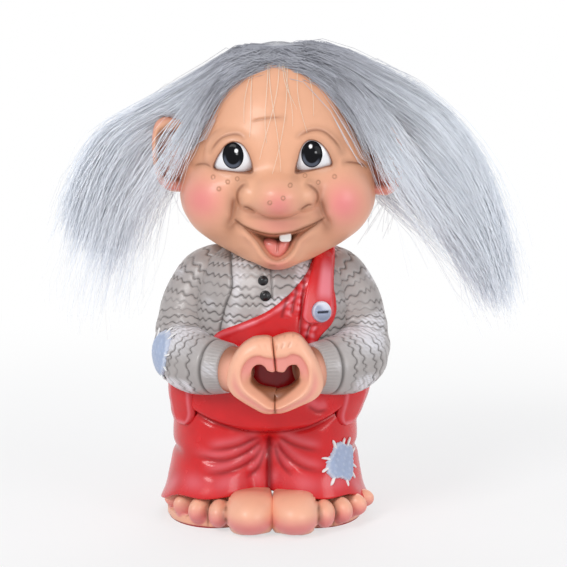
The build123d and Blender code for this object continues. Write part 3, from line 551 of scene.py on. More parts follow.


# The pale layer is a dry brush with painted highlight, and the deep layer is painted shade.
red_paint = painted("red_paint", RED, [("pale", RED_PALE), ("deep", RED_DEEP)], roughness=0.24, mottle=0.10,
                    mottle_scale=120, grain=0.10, grain_scale=700, coat=0.12, gloss=0.30)
angle = full_turn(340, -math.pi)[None, :]
hems = np.array(HEM_CURVE)
hem = smooth_between(np.radians(hems[:, 0]), hems[:, 1], angle)
share = np.concatenate([[0, 0, 0, 0], np.linspace(0, 1, LEG_ROWS)])[:, None]
height = hem + share * (WAIST_Z - hem)
reach = trousers_reach(angle, height)
rings = round_axis(TROUSERS_AXIS, angle, reach, height)
x, y = rings[..., 0], rings[..., 1]
front, back = rise(-y, 3.0, 9.0), rise(y, 3.0, 9.0)
# Dark red painted shade goes in the creases, and a pale dry brush with painted highlight on the lips below them.
sunk, creased, ridge = np.zeros(x.shape), np.zeros(x.shape), np.zeros(x.shape)
for folds, facing in ((TROUSER_FOLDS, front), (BACK_FOLDS, back)):
    for line, depth, width in folds:
        cut = groove(x, height, line, width, 0.22) * facing
        lip = groove(x, height - 2.0, line, width * 1.3, 0.25) * facing
        sunk += depth * cut - 0.35 * depth * lip
        creased = np.maximum(creased, 0.55 * groove(x, height, line, width * 0.5, 0.3) * facing)
        ridge = np.maximum(ridge, 0.35 * lip)
gap, along = line_distance(x, height, BELLY_CREASE)
above = rise(height - np.interp(x, *np.array(BELLY_CREASE).T), -0.4, 1.2)
fold = front * rise(along, 0, 0.1) * rise(1 - along, 0, 0.1)
sunk += fold * (1.3 * bell(gap, 1.2) - 1.2 * above * bell(gap, 5.0))
creased = np.maximum(creased, 0.55 * fold * bell(gap, 0.8))
cleft = bell(x + 0.8, 1.1) * rise(height, 31.0, 27.0)
sunk += 1.2 * cleft * front
creased = np.maximum(creased, 0.8 * cleft * np.maximum(front, back))
sunk -= 0.9 * bell(height - hem, 3.2)
# A pale dry brush with painted highlight in a band above the hem.
ridge = np.maximum(ridge, 0.38 * bell(height - hem - 4.5, 2.6) * (0.4 + 0.6 * np.sin(angle * 9) ** 2))
side_notch = bell(height - 22.5, 1.6) * rise(np.abs(x + 2), 25.0, 30.0)
sunk += 0.9 * side_notch
creased = np.maximum(creased, 0.4 * side_notch)
# Painted shade on the turned-in hem and on the belly behind the hands' window.
creased[:3] = 1
creased = np.maximum(creased, 0.55 * front * rise(11.0 - np.hypot(x - 1.3, height - 50.5), 0, 3.5))
above_hem = np.zeros(LEG_ROWS - 1)
inward, lip_lift = (np.concatenate([hem_rows, above_hem])[:, None] for hem_rows in (HEM_INWARD, HEM_LIFT))
rings = round_axis(TROUSERS_AXIS, angle, reach - sunk - inward, height + lip_lift)
cast("trousers_cast", rings, red_paint, "red_paint", "trousers", pale=ridge, deep=creased)


# Pockets: a round-bottomed flap on each hip, its top tucked under the forearm and its front edge standing off
# the cloth. Cast with the trousers in the same red, with a pale dry brush and painted highlight on the rim,
# and painted shade on the edge and the inner face.
POCKETS = (("left_pocket", -62.0, 5.6, 31.6, 48.6), ("right_pocket", 62.0, 5.4, 31.4, 48.4))


def slab(front, back):
    """A closed thin piece from two grids of the same shape: its outer face, its inner face, and an edge
    band."""
    rows, columns, _ = front.shape
    count = rows * columns
    faces = grid_faces(rows, columns, False)
    rim = np.concatenate([
        np.arange(columns), np.arange(1, rows) * columns + columns - 1,
        np.arange(columns - 2, -1, -1) + (rows - 1) * columns, np.arange(rows - 2, 0, -1) * columns,
    ])
    following = np.roll(rim, -1)
    band = np.stack([following, rim, rim + count, following + count], -1)
    return np.concatenate([front.reshape(-1, 3), back.reshape(-1, 3)]), np.concatenate(
        [faces, faces[:, ::-1] + count, band])


def two_faces(front, behind=0.0):
    """A paint mask for both faces of a thin piece, with the same value all over its inner face."""
    return np.concatenate([front, behind + 0 * front])


def rolled(edge, width):
    """How high a rolled rim stands, from 0 at its edge to 1 at width from it: a quarter of a circle."""
    return np.sqrt(1 - (1 - np.clip(edge / width, 0, 1)) ** 2)


down, across = np.meshgrid(np.linspace(0, 1, 70), np.linspace(-1, 1, 44), indexing="ij")
shape = np.sqrt(np.clip(1 - np.clip((down - 0.70) / 0.30, 0, 1) ** 2.4, 0, 1)) * (1 - 0.08 * down) + 0.02
for name, azimuth, half_width, bottom, top in POCKETS:
    height = top + (bottom - top) * down
    angle = math.radians(azimuth) + across * shape * half_width / 31.0
    base = trousers_reach(angle, height)
    edge = np.minimum((1 - np.abs(across)) * shape * half_width, (1 - down) * (top - bottom))
    lift = 1.25 * rolled(edge, 1.1) + 0.15
    outer, inner = (round_axis(TROUSERS_AXIS, angle, base + offset, height) for offset in (lift, -0.8))
    points, quads = slab(outer, inner)
    # The rolled rim gets a pale dry brush with painted highlight, and the inner face and edge painted shade.
    worn = 0.45 * bell(edge - 1.0, 0.6)
    pocket = add_piece(name + "_flap", points, quads, pale=two_faces(worn), deep=two_faces(0 * worn, 1))
    fit(pocket, red_paint, "red_paint", name)


# Knee patch: a pale blue rag with a star-like torn edge, sewn on the right leg with ten thick white stitches.
# Patch and stitches are thin castings stuck on the leg and painted by hand.
PATCH_BLUE = (0.36, 0.44, 0.62)
PATCH_WORN = (0.62, 0.68, 0.80)
THREAD_WHITE = (0.84, 0.84, 0.84)
KNEE_PLACE = (57.5, 20.3)
KNEE_EDGE = (5.6, 6.5, 5.2, 6.6, 5.3, 6.0, 6.8, 5.4, 6.8, 5.8)
WEAVE_HEIGHT = 0.0175


def edge_at(edge, around):
    """How far out a patch's torn edge lies at each angle round it."""
    return smooth_between(np.linspace(0, 2 * math.pi, len(edge) + 1), [*edge, edge[0]], around)


def rag(on_surface, edge, thickness):
    """The rings of a patch with a torn edge, and a mask of its worn places. Its front is rounded off towards
    the edge and shows a faint weave of ripples, and its back is sunk in what it is sewn on.
    on_surface(across, up, lift) places it."""
    around = full_turn(120)
    out = edge_at(edge, around) + 0.16 * np.sin(around * 23) + 0.12 * np.sin(around * 37 + 1)
    share = np.linspace(0.02, 1, 34)[:, None]
    across, up = share * out * np.cos(around), share * out * np.sin(around)
    lift = thickness * np.sqrt(1 - np.clip((share - 0.82) / 0.18, 0, 1) ** 2 * 0.96) + 0 * around
    lift = lift + WEAVE_HEIGHT * (np.sin(across * 5.2) + np.sin(up * 5.2))
    under = on_surface(across[::-1], up[::-1], -0.6 + 0 * lift)
    rings = np.concatenate([on_surface(across, up, lift), under])
    worn = 0.7 * rise(share, 0.80, 0.95) + 0.25 * (np.sin(across * 2.1 + up) * np.sin(up * 1.7) > 0.55)
    return rings, two_faces(worn)


def joined(parts):
    """Several sets of points, four-sided faces and end triangles as one set."""
    points, quads, ends = zip(*parts)
    first = np.cumsum([0, *(len(part) for part in points)])
    quads, ends = ([part + number for part, number in zip(faces, first)] for faces in (quads, ends))
    return np.concatenate(points), np.concatenate(quads), np.concatenate(ends)


def stitch_bars(on_surface, places, length, width, height):
    """Short thick stitches as closed bars with tapered ends. A place is (across, up, turn) on the patch's
    surface: a ring of points is carried along each bar and shrinks at both of its ends."""
    steps = np.linspace(-1, 1, 11)[:, None]
    around = full_turn(10)[None, :]
    girth = np.sqrt(np.clip(1 - steps**4, 0.02, 1))
    lift = girth * np.sin(around) * height * 0.6 + height * 0.45
    bars = []
    for number, (across, up, turn) in enumerate(places):
        size = 1 + 0.22 * math.sin(number * 2.3)
        along = steps * length / 2 * size
        aside = girth * np.cos(around) * width / 2 + 0.25 * np.sin(steps * 2 + number)
        bar = on_surface(across + along * math.cos(turn) - aside * math.sin(turn),
                         up + along * math.sin(turn) + aside * math.cos(turn), lift)
        bars.append(closed_rings(bar))
    return joined(bars)


def on_knee(across, up, lift):
    """A place on the right leg from its distance across and up the patch, and how far it stands off the
    cloth."""
    angle = math.radians(KNEE_PLACE[0]) + across / 27.5
    height = KNEE_PLACE[1] + up
    return round_axis(TROUSERS_AXIS, angle, trousers_reach(angle, height) + lift, height)


def stitch_places(edge, count, start):
    """Evenly spread places on a patch's edge, each turned outwards."""
    turns = [start + 2 * math.pi * number / count + 0.10 * math.sin(number * 1.9) for number in range(count)]
    out = [float(edge_at(edge, turn % (2 * math.pi))) for turn in turns]
    return [(o * math.cos(t), o * math.sin(t), t) for o, t in zip(out, turns)]


patch_paint = painted("patch_paint", PATCH_BLUE, [("worn", PATCH_WORN)], roughness=0.42, mottle=0.10,
                      mottle_scale=420, grain=0.25, grain_scale=1500, coat=0.1)
thread_paint = painted("thread_paint", THREAD_WHITE, roughness=0.40, mottle=0.04, mottle_scale=500, grain=0.2)
rings, worn = rag(on_knee, KNEE_EDGE, 0.95)
cast("knee_rag", rings, patch_paint, "patch_paint", "knee_patch", worn=worn)
thread = add_piece("knee_thread", *stitch_bars(on_knee, stitch_places(KNEE_EDGE, 10, 0.3), 4.3, 0.85, 0.75))
fit(thread, thread_paint, "stitch_paint", "knee_stitches")


# Jumper body: the torso casting, carved with wavy rows of knitting, a side seam and a placket. Taupe paint
# with painted shade in the rows, the seam and the placket, and a pearl dry brush over them with painted
# highlights on the chest. It stands on the trousers and carries the head.
TORSO_AXIS = (0.0, -1.2)
TORSO_LEVELS = (
    (56.0, 27.3, 22.4, -1.9), (65.9, 26.1, 21.7, -1.75), (74.0, 24.5, 20.3, -1.25), (80.0, 22.3, 18.0, -1.0),
    (84.5, 18.8, 15.2, -0.74), (88.4, 10.9, 10.75, 0.0),
)
TAUPE = (0.410, 0.377, 0.366)
TAUPE_DARK = (0.050, 0.040, 0.036)
PEARL = (0.78, 0.77, 0.81)
KNIT_ROWS = (60.2, 62.6, 64.9, 67.4, 70.3, 72.9, 75.9, 79.1, 81.9, 84.3)
SIDE_SEAM = ((-13.3, 86.0), (-12.8, 80.0), (-12.7, 75.1), (-14.7, 69.6), (-16.2, 63.0), (-16.6, 58.0))
PLACKET = ((-0.4, 83.0), (-0.1, 78.0), (0.1, 72.6))
PEARL_SPOTS = (
    (-11.0, 75.5, 1.5, 6.5, 1.0), (-13.0, 66.0, 1.6, 3.5, 0.8), (-9.0, 83.0, 3.0, 1.6, 0.9),
    (9.0, 82.6, 2.6, 2.4, 0.9),
)


def torso_reach(angle, height):
    """How far the jumper stands out from its axis at each angle from the front and each height."""
    half_width, half_depth, back = at_level(TORSO_LEVELS, height)
    return oval_reach(np.sin(angle), -np.cos(angle), TORSO_AXIS, (0.0, back), half_width, half_depth)


def torso_front(x, z, lift):
    """The place on the front of the jumper at x and z, lift off it: y from the level oval at that height."""
    half_width, half_depth, back = at_level(TORSO_LEVELS, z)
    across = np.clip(x / (half_width + lift), -0.999, 0.999)
    return np.stack([x + 0 * z, back - (half_depth + lift) * np.sqrt(1 - across**2), z + 0 * x], -1)


def zigzag(run, period):
    """A wave between a triangle and a sine, from -1 to 1, whose turns aren't all alike."""
    phase = run / period + 0.18 * np.sin(run * 0.61)
    return 0.62 * np.sin(2 * math.pi * phase) + 0.38 * (2 * np.abs(2 * (phase % 1) - 1) - 1)


def knit(run, height, rows, period, swing, width):
    """Carved rows of knitting, from 0 to 1: a narrow bell curve round each wavy row. A slow ripple lifts the
    tool here and there, so that the rows break up."""
    carved = np.zeros(np.broadcast(run, height).shape)
    for number, row in enumerate(rows):
        drift = 0.35 * np.sin(run * 0.17 + number * 2.1)
        wave = row + drift + swing * zigzag(run + number * 1.7, period * (1 + 0.13 * math.sin(number * 1.3)))
        ripple = np.sin(run * 0.23 + number * 1.9) + np.sin(run * 0.11 - number)
        pressed = 0.45 + 0.55 * rise(ripple, -1.0, 0.3)
        carved = np.maximum(carved, pressed * bell(height - wave, width))
    return carved


def pearled(x, y, z, near):
    """Where the dry brush touched, from 0 to 1: patches that slow waves pick out, streaked by fast ones. near
    adds painted highlight.
    """
    slow = np.sin(x * 0.31 + 1.3) * np.sin(z * 0.37 + 0.6) + 0.6 * np.sin(x * 0.13 - z * 0.21 + y * 0.17)
    patch = rise(slow, 0.10, 0.9)
    streak = 0.55 + 0.45 * np.sin(x * 3.1 + z * 5.3) * np.sin(z * 2.3 - y * 1.9)
    return np.clip(1.2 * patch * streak + 1.1 * near * (0.45 + 0.55 * streak), 0, 1)


def oval_spot(x, z, middle_x, middle_z, across, up):
    """A soft oval spot, 1 at its middle: a bell curve across it and another up it."""
    return np.exp(-(((x - middle_x) / across) ** 2) - ((z - middle_z) / up) ** 2)


# The dark layer is painted shade, and the pearl layer a dry brush with painted highlight.
jumper_paint = painted("jumper_paint", TAUPE, [("pearl", PEARL), ("dark", TAUPE_DARK)], roughness=0.36,
                       mottle=0.07, mottle_scale=300, grain=0.18, grain_scale=1300, coat=0.12)
angle = full_turn(380, -math.pi)[None, :]
height = np.linspace(56.2, 88.2, 108)[:, None]
reach = torso_reach(angle, height)
rings = round_axis(TORSO_AXIS, angle, reach, height)
x, y = rings[..., 0], rings[..., 1]
carved = knit(angle * 23.5, height, KNIT_ROWS, 3.4, 0.62, 0.26)
front = rise(-y, 2.0, 8.0)
seam = groove(x, height, SIDE_SEAM, 0.42, 0) * front
placket = groove(x, height, PLACKET, 0.34, 0.05) * front
flap = 0.22 * groove(x - 1.3, height, PLACKET, 0.8, 0.05) * front
reach = reach - 0.42 * carved - 0.55 * seam - 0.45 * placket + flap
rings = round_axis(TORSO_AXIS, angle, reach, height)
x, y = rings[..., 0], rings[..., 1]
# Painted highlight spots on the chest, laid in the pearl.
near_seam = front * sum(tint * oval_spot(x, height, *spot) for *spot, tint in PEARL_SPOTS)
dark = np.clip(np.maximum.reduce([0.9 * carved, 0.9 * seam, 0.7 * placket]), 0, 1)
cast("jumper_cast", rings, jumper_paint, "jumper_paint", "jumper_body", dark=dark,
     pearl=pearled(x, y, height, 0.75 * near_seam) * (1 - dark))


# Sleeves: two more castings, pegged on at the shoulders and bent round the elbows to cuffs in front of the
# belly. Zigzag rows run round them, a smooth line marks each cuff, and ribs run from there to the wrist.
SLEEVE_POINTS = (
    (9.8, 0.7, 79.7, 0.6), (13.1, 0.7, 79.9, 5.9), (19.0, 0.7, 78.0, 8.6), (24.7, -0.5, 71.0, 9.1),
    (27.3, -4.5, 60.8, 9.5), (27.5, -9.4, 55.0, 9.8), (24.8, -17.9, 52.4, 9.8), (19.0, -24.6, 52.1, 9.0),
    (12.0, -29.3, 52.2, 7.5),
)
CUFF_SHARE = 0.905
SLEEVE_ROWS = 204


def sleeve_line(side, share):
    """Middles and radii along a sleeve, from the shoulder, 0, to the cuff, 1: smooth curves by chord
    length."""
    table = np.array(SLEEVE_POINTS) * (side, 1, 1, 1)
    chord = np.concatenate([[0], np.cumsum(np.linalg.norm(np.diff(table[:, :3], axis=0), axis=1))])
    place = np.asarray(share) * chord[-1]
    return np.stack([smooth_between(chord, table[:, n], place) for n in range(4)], -1), chord[-1]


def carried_frames(middles):
    """Two directions square to a line at each of its points. Each pair is the one before it, turned as little
    as the line asks."""
    ahead = np.gradient(middles, axis=0)
    ahead /= np.linalg.norm(ahead, axis=1, keepdims=True)
    across = [np.array((0.0, 1.0, 0.0))]
    for way in ahead:
        turned = across[-1] - way * (across[-1] @ way)
        across.append(turned / np.linalg.norm(turned))
    across = np.array(across[1:])
    return across, np.cross(ahead, across)


def sleeve_field(points, side):
    """How far points lie outside a sleeve: the least distance to the balls strung along its middle."""
    line, _ = sleeve_line(side, np.linspace(0.05, 1, 60))
    gap = np.full(points.shape[:-1], 1e9)
    for middle in line:
        gap = np.minimum(gap, np.linalg.norm(points - middle[:3], axis=-1) - middle[3])
    return gap


for side, name in ((-1, "left_sleeve"), (1, "right_sleeve")):
    share = np.linspace(0, 1, SLEEVE_ROWS)
    line, length = sleeve_line(side, share)
    across, aside = carried_frames(line[:, :3])
    around = full_turn(156)
    along = (share * length)[:, None]
    cuff_start = CUFF_SHARE * length
    rows = np.arange(8.0, cuff_start - 1.5, 3.1)
    carved = knit(around[None, :] * 9.3 + side * 3, along, rows, 3.1, 0.72, 0.27)
    cuff = bell(along - cuff_start, 0.42) + 0 * around
    ribs = rise(along, cuff_start + 0.8, cuff_start + 2.2) * (0.5 + 0.5 * np.cos(around * 46))
    bend = bell(along - 0.55 * length, 9.0)
    radius = line[:, 3][:, None] - 0.45 * carved - 0.5 * cuff - 0.14 * ribs
    radius = radius + 0.22 * bend * np.sin(along * 0.9 + 1.5 * np.sin(around * 2))
    radius = radius * np.concatenate([[0.02], np.ones(SLEEVE_ROWS - 4), [0.97, 0.80, 0.30]])[:, None]
    ring = np.cos(around)[None, :, None] * across[:, None] + np.sin(around)[None, :, None] * aside[:, None]
    rings = line[:, None, :3] + radius[..., None] * ring
    # Painted shade in the rows, the cuff line and the ribs, and a painted highlight in the pearl on the tops of
    # the forearms.
    dark = np.clip(np.maximum.reduce([0.8 * carved, 0.85 * cuff, 0.15 * ribs]), 0, 1)
    forearm = bell(along - 0.72 * length, 7.0) * rise(rings[..., 2], 53.0, 59.0)
    cast(name + "_cast", rings, jumper_paint, "jumper_paint", name, dark=dark,
         pearl=pearled(*np.moveaxis(rings, -1, 0), forearm) * (1 - dark))


# Elbow patch: the same blue rag as on the knee, bent round the left elbow and held by white stitches. A thin
# casting stuck on the sleeve and painted by hand.
ELBOW_AZIMUTH = math.radians(-43)
ELBOW_MIDDLE = np.array((-27.5, -9.4, 54.6))
ELBOW_EDGE = (6.6, 7.4, 7.6, 7.0, 6.4, 7.2, 7.6, 7.2)


def on_elbow(across, up, lift):
    """A place on the left sleeve: a level ray goes out of the elbow's middle at each point of the patch, and
    ends lift beyond the sleeve."""
    outward = np.array((math.sin(ELBOW_AZIMUTH), -math.cos(ELBOW_AZIMUTH), 0.0))
    sideways = np.array((math.cos(ELBOW_AZIMUTH), math.sin(ELBOW_AZIMUTH), 0.0))
    start = ELBOW_MIDDLE + across[..., None] * sideways * 0.92 + up[..., None] * np.array((0, 0, 0.92))
    near, far = np.zeros(across.shape), np.full(across.shape, 16.0)
    for _ in range(14):
        middle = (near + far) / 2
        within = sleeve_field(start + outward * middle[..., None], -1) < lift
        near, far = np.where(within, middle, near), np.where(within, far, middle)
    return start + outward * near[..., None]


rings, worn = rag(on_elbow, ELBOW_EDGE, 0.9)
cast("elbow_rag", rings, patch_paint, "patch_paint", "elbow_patch", worn=worn)
thread = add_piece("elbow_thread", *stitch_bars(on_elbow, stitch_places(ELBOW_EDGE, 9, 0.1), 3.6, 0.8, 0.7))
fit(thread, thread_paint, "stitch_paint", "elbow_stitches")


# Bib: the front panel of the dungarees, cut off slantwise from the left hip to the right shoulder, gathered
# under the strap. A thin casting with a rolled edge, in the trousers' red, with a pale dry brush and painted
# highlight on the edge and the gathers, and painted shade in the hollow beside each gather.
BIB_EDGE = (
    (-20.5, 57.0), (-17.6, 60.6), (-15.6, 62.3), (-9.7, 65.0), (-2.0, 68.5), (4.2, 72.9), (8.8, 77.4),
    (12.2, 82.4), (13.4, 87.2),
)
BIB_GATHERS = (
    (((11.9, 82.5), (10.9, 76.2), (10.2, 66.3), (10.0, 60.0)), 0.75, 0.9),
    (((10.4, 79.8), (8.6, 74.5), (7.4, 67.5)), 0.45, 0.9),
    (((7.6, 76.0), (5.6, 71.5), (4.4, 66.5)), 0.30, 1.0),
    (((13.0, 64.8), (11.8, 61.5), (12.4, 58.0)), 0.5, 0.9),
)
BIB_SIDE = ((57, 13.0), (61, 15.2), (64, 18.2), (67, 19.6), (72, 19.6), (78, 18.2), (87, 17.2))
BIB_BEND = 27.0
height = np.linspace(57.0, 87.0, 92)[:, None]
share = np.linspace(0, 1, 124)[None, :]
left = smooth_between(*np.array(BIB_EDGE).T[::-1], height)
right = smooth_between(*np.array(BIB_SIDE).T, height)
x = left + (right - left) * share
gap, _ = line_distance(x, height, BIB_EDGE)
lift = 1.35 * rolled(np.minimum(gap, right - x), 1.2) + 0.10
lift = lift + 0.30 * bell(gap - 1.4, 0.9)
# A pale dry brush with painted highlight along the rolled edge.
pale = 0.75 * bell(gap - 1.3, 0.6) * (0.35 + 0.65 * rise(np.sin(x * 0.7) + np.sin(height * 0.9), -0.3, 1.0))
deep = np.zeros(x.shape)
# Each gather gets a pale dry brush with painted highlight, and painted shade in the hollow beside it.
for line, depth, width in BIB_GATHERS:
    hollow = 0.8 * depth * groove(x + 1.5, height, line, width * 0.7, 0.1)
    lift = lift + depth * groove(x, height, line, width, 0.1) - hollow
    brushed = 0.8 * groove(x, height, line, width * 0.7, 0.1) * (0.5 + 0.5 * np.sin(height * 2.7 + x))
    pale = np.maximum(pale, brushed)
    deep = np.maximum(deep, 0.7 * groove(x + 1.5, height, line, width * 0.5, 0.1))
front = torso_front(x, height, 0.0)
outward = np.stack([x / BIB_BEND, -np.sqrt(np.clip(1 - (x / BIB_BEND) ** 2, 0.05, 1)), 0 * x], -1)
points, quads = slab(front + outward * lift[..., None], front - outward * 1.0)
bib = add_piece("bib_panel", points, quads, pale=two_faces(pale), deep=two_faces(deep))
fit(bib, red_paint, "red_paint", "bib")


# Shoulder strap: runs from the waist at the back, over the right shoulder, to a rounded end that is buttoned
# on the bib. Cast in red, with a broad painted highlight on the front over the shoulder and a pale painted
# highlight along its edges.
STRAP_AXIS = (0.0, 66.0)
STRAP_RUN = (-3.0, 8.0, 20.0, 45.0, 70.0, 110.0, 150.0, 200.0)
STRAP_MIDDLE = (14.0, 14.6, 14.9, 16.0, 17.0, 16.6, 14.2, 12.0)
STRAP_HALF = (5.1, 5.0, 4.6, 3.5, 2.95, 3.0, 3.2, 3.3)
turn = np.linspace(STRAP_RUN[0], STRAP_RUN[-1], 190)[:, None]
across = np.linspace(-1, 1, 32)[None, :]
start = np.clip((turn - STRAP_RUN[0]) / 8.0, 0, 1)
half = smooth_between(STRAP_RUN, STRAP_HALF, turn) * np.sqrt(1 - (1 - start) ** 2.2) + 0.02
x = smooth_between(STRAP_RUN, STRAP_MIDDLE, turn) + across * half
ways = np.stack([0 * x, -np.cos(np.radians(turn)) + 0 * x, np.sin(np.radians(turn)) + 0 * x], -1)


def shoulder_field(points):
    """How far points lie outside the jumper body and the top of the right sleeve together."""
    z = points[..., 2]
    half_width, half_depth, back = at_level(TORSO_LEVELS, z)
    body = (np.hypot(points[..., 0] / half_width, (points[..., 1] - back) / half_depth) - 1) * half_depth
    return melted([np.maximum(body, z - TORSO_LEVELS[-1][0]), sleeve_field(points, 1)], 0.5)


base = np.stack([x, STRAP_AXIS[0] + 0 * x, STRAP_AXIS[1] + 0 * x], -1)
reach = outermost(shoulder_field, base, ways, 3.0, 34.0, 40)
edge = np.minimum((1 - np.abs(across)) * half, start * 9.0)
on_bib = 1.25 * rise(turn, 70.0, 30.0)
thick = 1.45 * rolled(edge, 1.1) + 0.05
outer = base + ways * (reach + on_bib + thick + 0.10)[..., None]
points, quads = slab(outer, base + ways * (reach - 0.8)[..., None])
# Painted highlight: a broad pale band over the shoulder and a pale line along the edges.
pale = 0.85 * rise(turn, 12.0, 24.0) * rise(turn, 62.0, 40.0)
pale = pale * rise(across, -0.35, 0.15) * rise(-across, -0.98, -0.6)
pale = np.maximum(pale, 0.55 * bell(edge - 0.9, 0.45) * rise(turn, 30.0, 5.0))
strap = add_piece("shoulder_strap_band", points, quads, pale=two_faces(pale), deep=np.zeros(len(points)))
fit(strap, red_paint, "red_paint", "shoulder_strap")


# Strap button: a blue-grey domed button with a slot and a thin rim, glued on the strap, with a painted
# highlight on its upper side and rim and painted shade in the slot. Jumper buttons: two small black domes
# on the placket.
BUTTON_BLUE = (0.33, 0.38, 0.52)
BUTTON_LIGHT = (0.78, 0.80, 0.90)
BUTTON_BLACK = (0.012, 0.012, 0.014)
SLOT_BLACK = (0.03, 0.03, 0.05)
JUMPER_BUTTONS = ((-2.6, 77.9, 1.65), (-1.9, 73.4, 1.75))


def button(middle, outward, radius, height, slotted):
    """The rings of a round button about its middle, a mask of its painted highlight on the upper side and
    round the rim, and a mask of its slot, which is painted in shade. It is a dome that falls by 0.75 times
    the radius share to the power 2.2, with a low rim near its edge, a level slot cut in it where slotted is
    1, and a flat back. outward is the way that it faces."""
    outward = np.asarray(outward, float) / np.linalg.norm(outward)
    aside = np.cross((0, 0, 1.0), outward)
    aside /= np.linalg.norm(aside)
    upward = np.cross(outward, aside)
    share = np.linspace(0.02, 1, 26)[:, None]
    around = full_turn(60)[None, :]
    across, up = share * np.cos(around), share * np.sin(around)
    top = height * (1 - 0.75 * share**2.2) * np.sqrt(1 - np.clip((share - 0.9) / 0.1, 0, 1) ** 2 * 0.98)
    top = top + 0.10 * height * bell(share - 0.86, 0.07) + 0 * around
    cut = bell(up, 0.09) * rise(0.62 - np.abs(across), 0, 0.12) * slotted
    top = top - cut * 0.55 * height
    level = across[..., None] * radius * aside + up[..., None] * radius * upward
    rings = np.concatenate([level + top[..., None] * outward, level[::-1] * 0.96 - 0.9 * outward])
    # Painted highlight on the upper side and round the rim.
    lit = rise(up, 0.02, 0.3) * rise(across + up, 0.0, 0.8) * 0.9 + 0.7 * bell(share - 0.9, 0.05)
    return rings + np.asarray(middle), two_faces(np.clip(lit, 0, 1) * (1 - cut)), two_faces(cut)


button_paint = painted("button_paint", BUTTON_BLUE, [("lit", BUTTON_LIGHT), ("cut", SLOT_BLACK)],
                       roughness=0.35, mottle=0.12, mottle_scale=350, grain=0.1, coat=0.3)
number = int(np.argmin(np.abs(turn[:, 0] - 6.8)))
place = outer[number, 19] + np.array((-0.3, -0.3, 0))
rings, lit, cut = button(place, (0.42, -0.9, 0.06), 3.35, 1.9, 1.0)
cast("strap_button_dome", rings, button_paint, "button_grey", "strap_button", lit=lit, cut=cut)
black_paint = painted("button_black_paint", BUTTON_BLACK, roughness=0.20, mottle=0.2, mottle_scale=600,
                      gloss=0.4)
domes = []
for px, pz, radius in JUMPER_BUTTONS:
    place = torso_front(np.array(px), np.array(pz), -0.2)
    domes.append(closed_rings(button(place, (px / 24, -1, 0.12), radius, 1.35, 0.0)[0]))
fit(add_piece("jumper_button_domes", *joined(domes)), black_paint, "button_black", "jumper_buttons")


# Hands: two cast palms whose fingertips and thumbs meet round a heart-shaped window, each with a wrist that
# goes into its cuff. The lighter copy of the skin paint, which stands in for the light they get, pink on the
# bevel inside the fingers, with painted shade in the window, along the seam, in the finger lines and where
# the wrists go into the cuffs.
HAND_WINDOWS = {
    "left_hand": (
        (1.35, 52.9), (0.3, 52.6), (-1.1, 53.1), (-1.9, 54.2), (-3.1, 54.9), (-4.5, 54.8), (-5.6, 53.8),
        (-6.0, 52.4), (-5.7, 50.8), (-5.0, 49.3), (-3.8, 48.0), (-2.2, 46.7), (-0.8, 45.4), (0.2, 44.3),
        (1.1, 43.7),
    ),
    "right_hand": (
        (1.35, 52.9), (2.6, 52.6), (3.9, 52.7), (5.0, 54.2), (6.1, 54.8), (7.5, 54.8), (8.3, 53.8),
        (8.6, 52.4), (8.2, 50.5), (7.3, 49.0), (5.9, 47.7), (4.3, 46.4), (2.9, 45.1), (1.9, 44.3),
        (1.1, 43.7),
    ),
}
HAND_EDGES = {
    "left_hand": (
        (0.35, 62.6), (-0.9, 63.2), (-3.1, 63.2), (-5.4, 62.8), (-7.7, 61.5), (-9.6, 59.8), (-11.6, 57.1),
        (-13.0, 54.0), (-13.6, 50.4), (-13.2, 47.6), (-11.6, 45.1), (-8.7, 43.0), (-5.5, 41.1), (-2.5, 39.6),
        (1.1, 39.2),
    ),
    "right_hand": (
        (0.35, 62.6), (2.6, 63.5), (5.4, 64.2), (7.5, 64.0), (9.2, 63.0), (10.7, 61.2), (12.4, 58.8),
        (14.2, 55.6), (15.4, 52.3), (15.9, 49.0), (15.3, 46.2), (13.1, 43.8), (9.1, 41.9), (4.9, 40.1),
        (1.1, 39.2),
    ),
}
FINGER_SECTION = (
    (0.06, -30.5), (0.0, -34.0), (0.0, -37.6), (0.04, -38.5), (0.20, -38.9), (0.38, -39.3), (0.44, -40.0),
    (0.54, -40.6), (0.70, -40.5), (0.88, -39.4), (0.98, -37.3), (1.0, -34.5), (0.93, -31.5), (0.50, -30.0),
)
THUMB_SECTION = (
    (0.06, -30.5), (0.0, -32.5), (0.04, -34.6), (0.13, -36.2), (0.26, -38.2), (0.38, -39.8), (0.46, -40.4),
    (0.53, -40.2), (0.66, -39.3), (0.84, -38.4), (0.97, -36.9), (1.0, -34.3), (0.93, -31.5), (0.50, -30.0),
)
WRIST = (
    (14.0, 0.2, -27.0, 52.2, 6.4), (12.0, 0.4, -30.5, 51.8, 6.4), (9.8, 0.9, -33.0, 51.2, 5.6),
    (7.5, 1.1, -34.5, 50.8, 3.0),
)
HAND_ROWS = 132


def curve_through(points, count, closed=False):
    """Evenly numbered places on a smooth curve through points."""
    points = np.asarray(points, float)
    if closed:
        wrapped = np.concatenate([points[-2:], points, points[:3]])
        steps = np.linspace(2, 2 + len(points), count, endpoint=False)
    else:
        wrapped, steps = points, np.linspace(0, len(points) - 1, count)
    numbers = np.arange(len(wrapped))
    return np.stack([smooth_between(numbers, wrapped[:, n], steps) for n in range(points.shape[1])], -1)


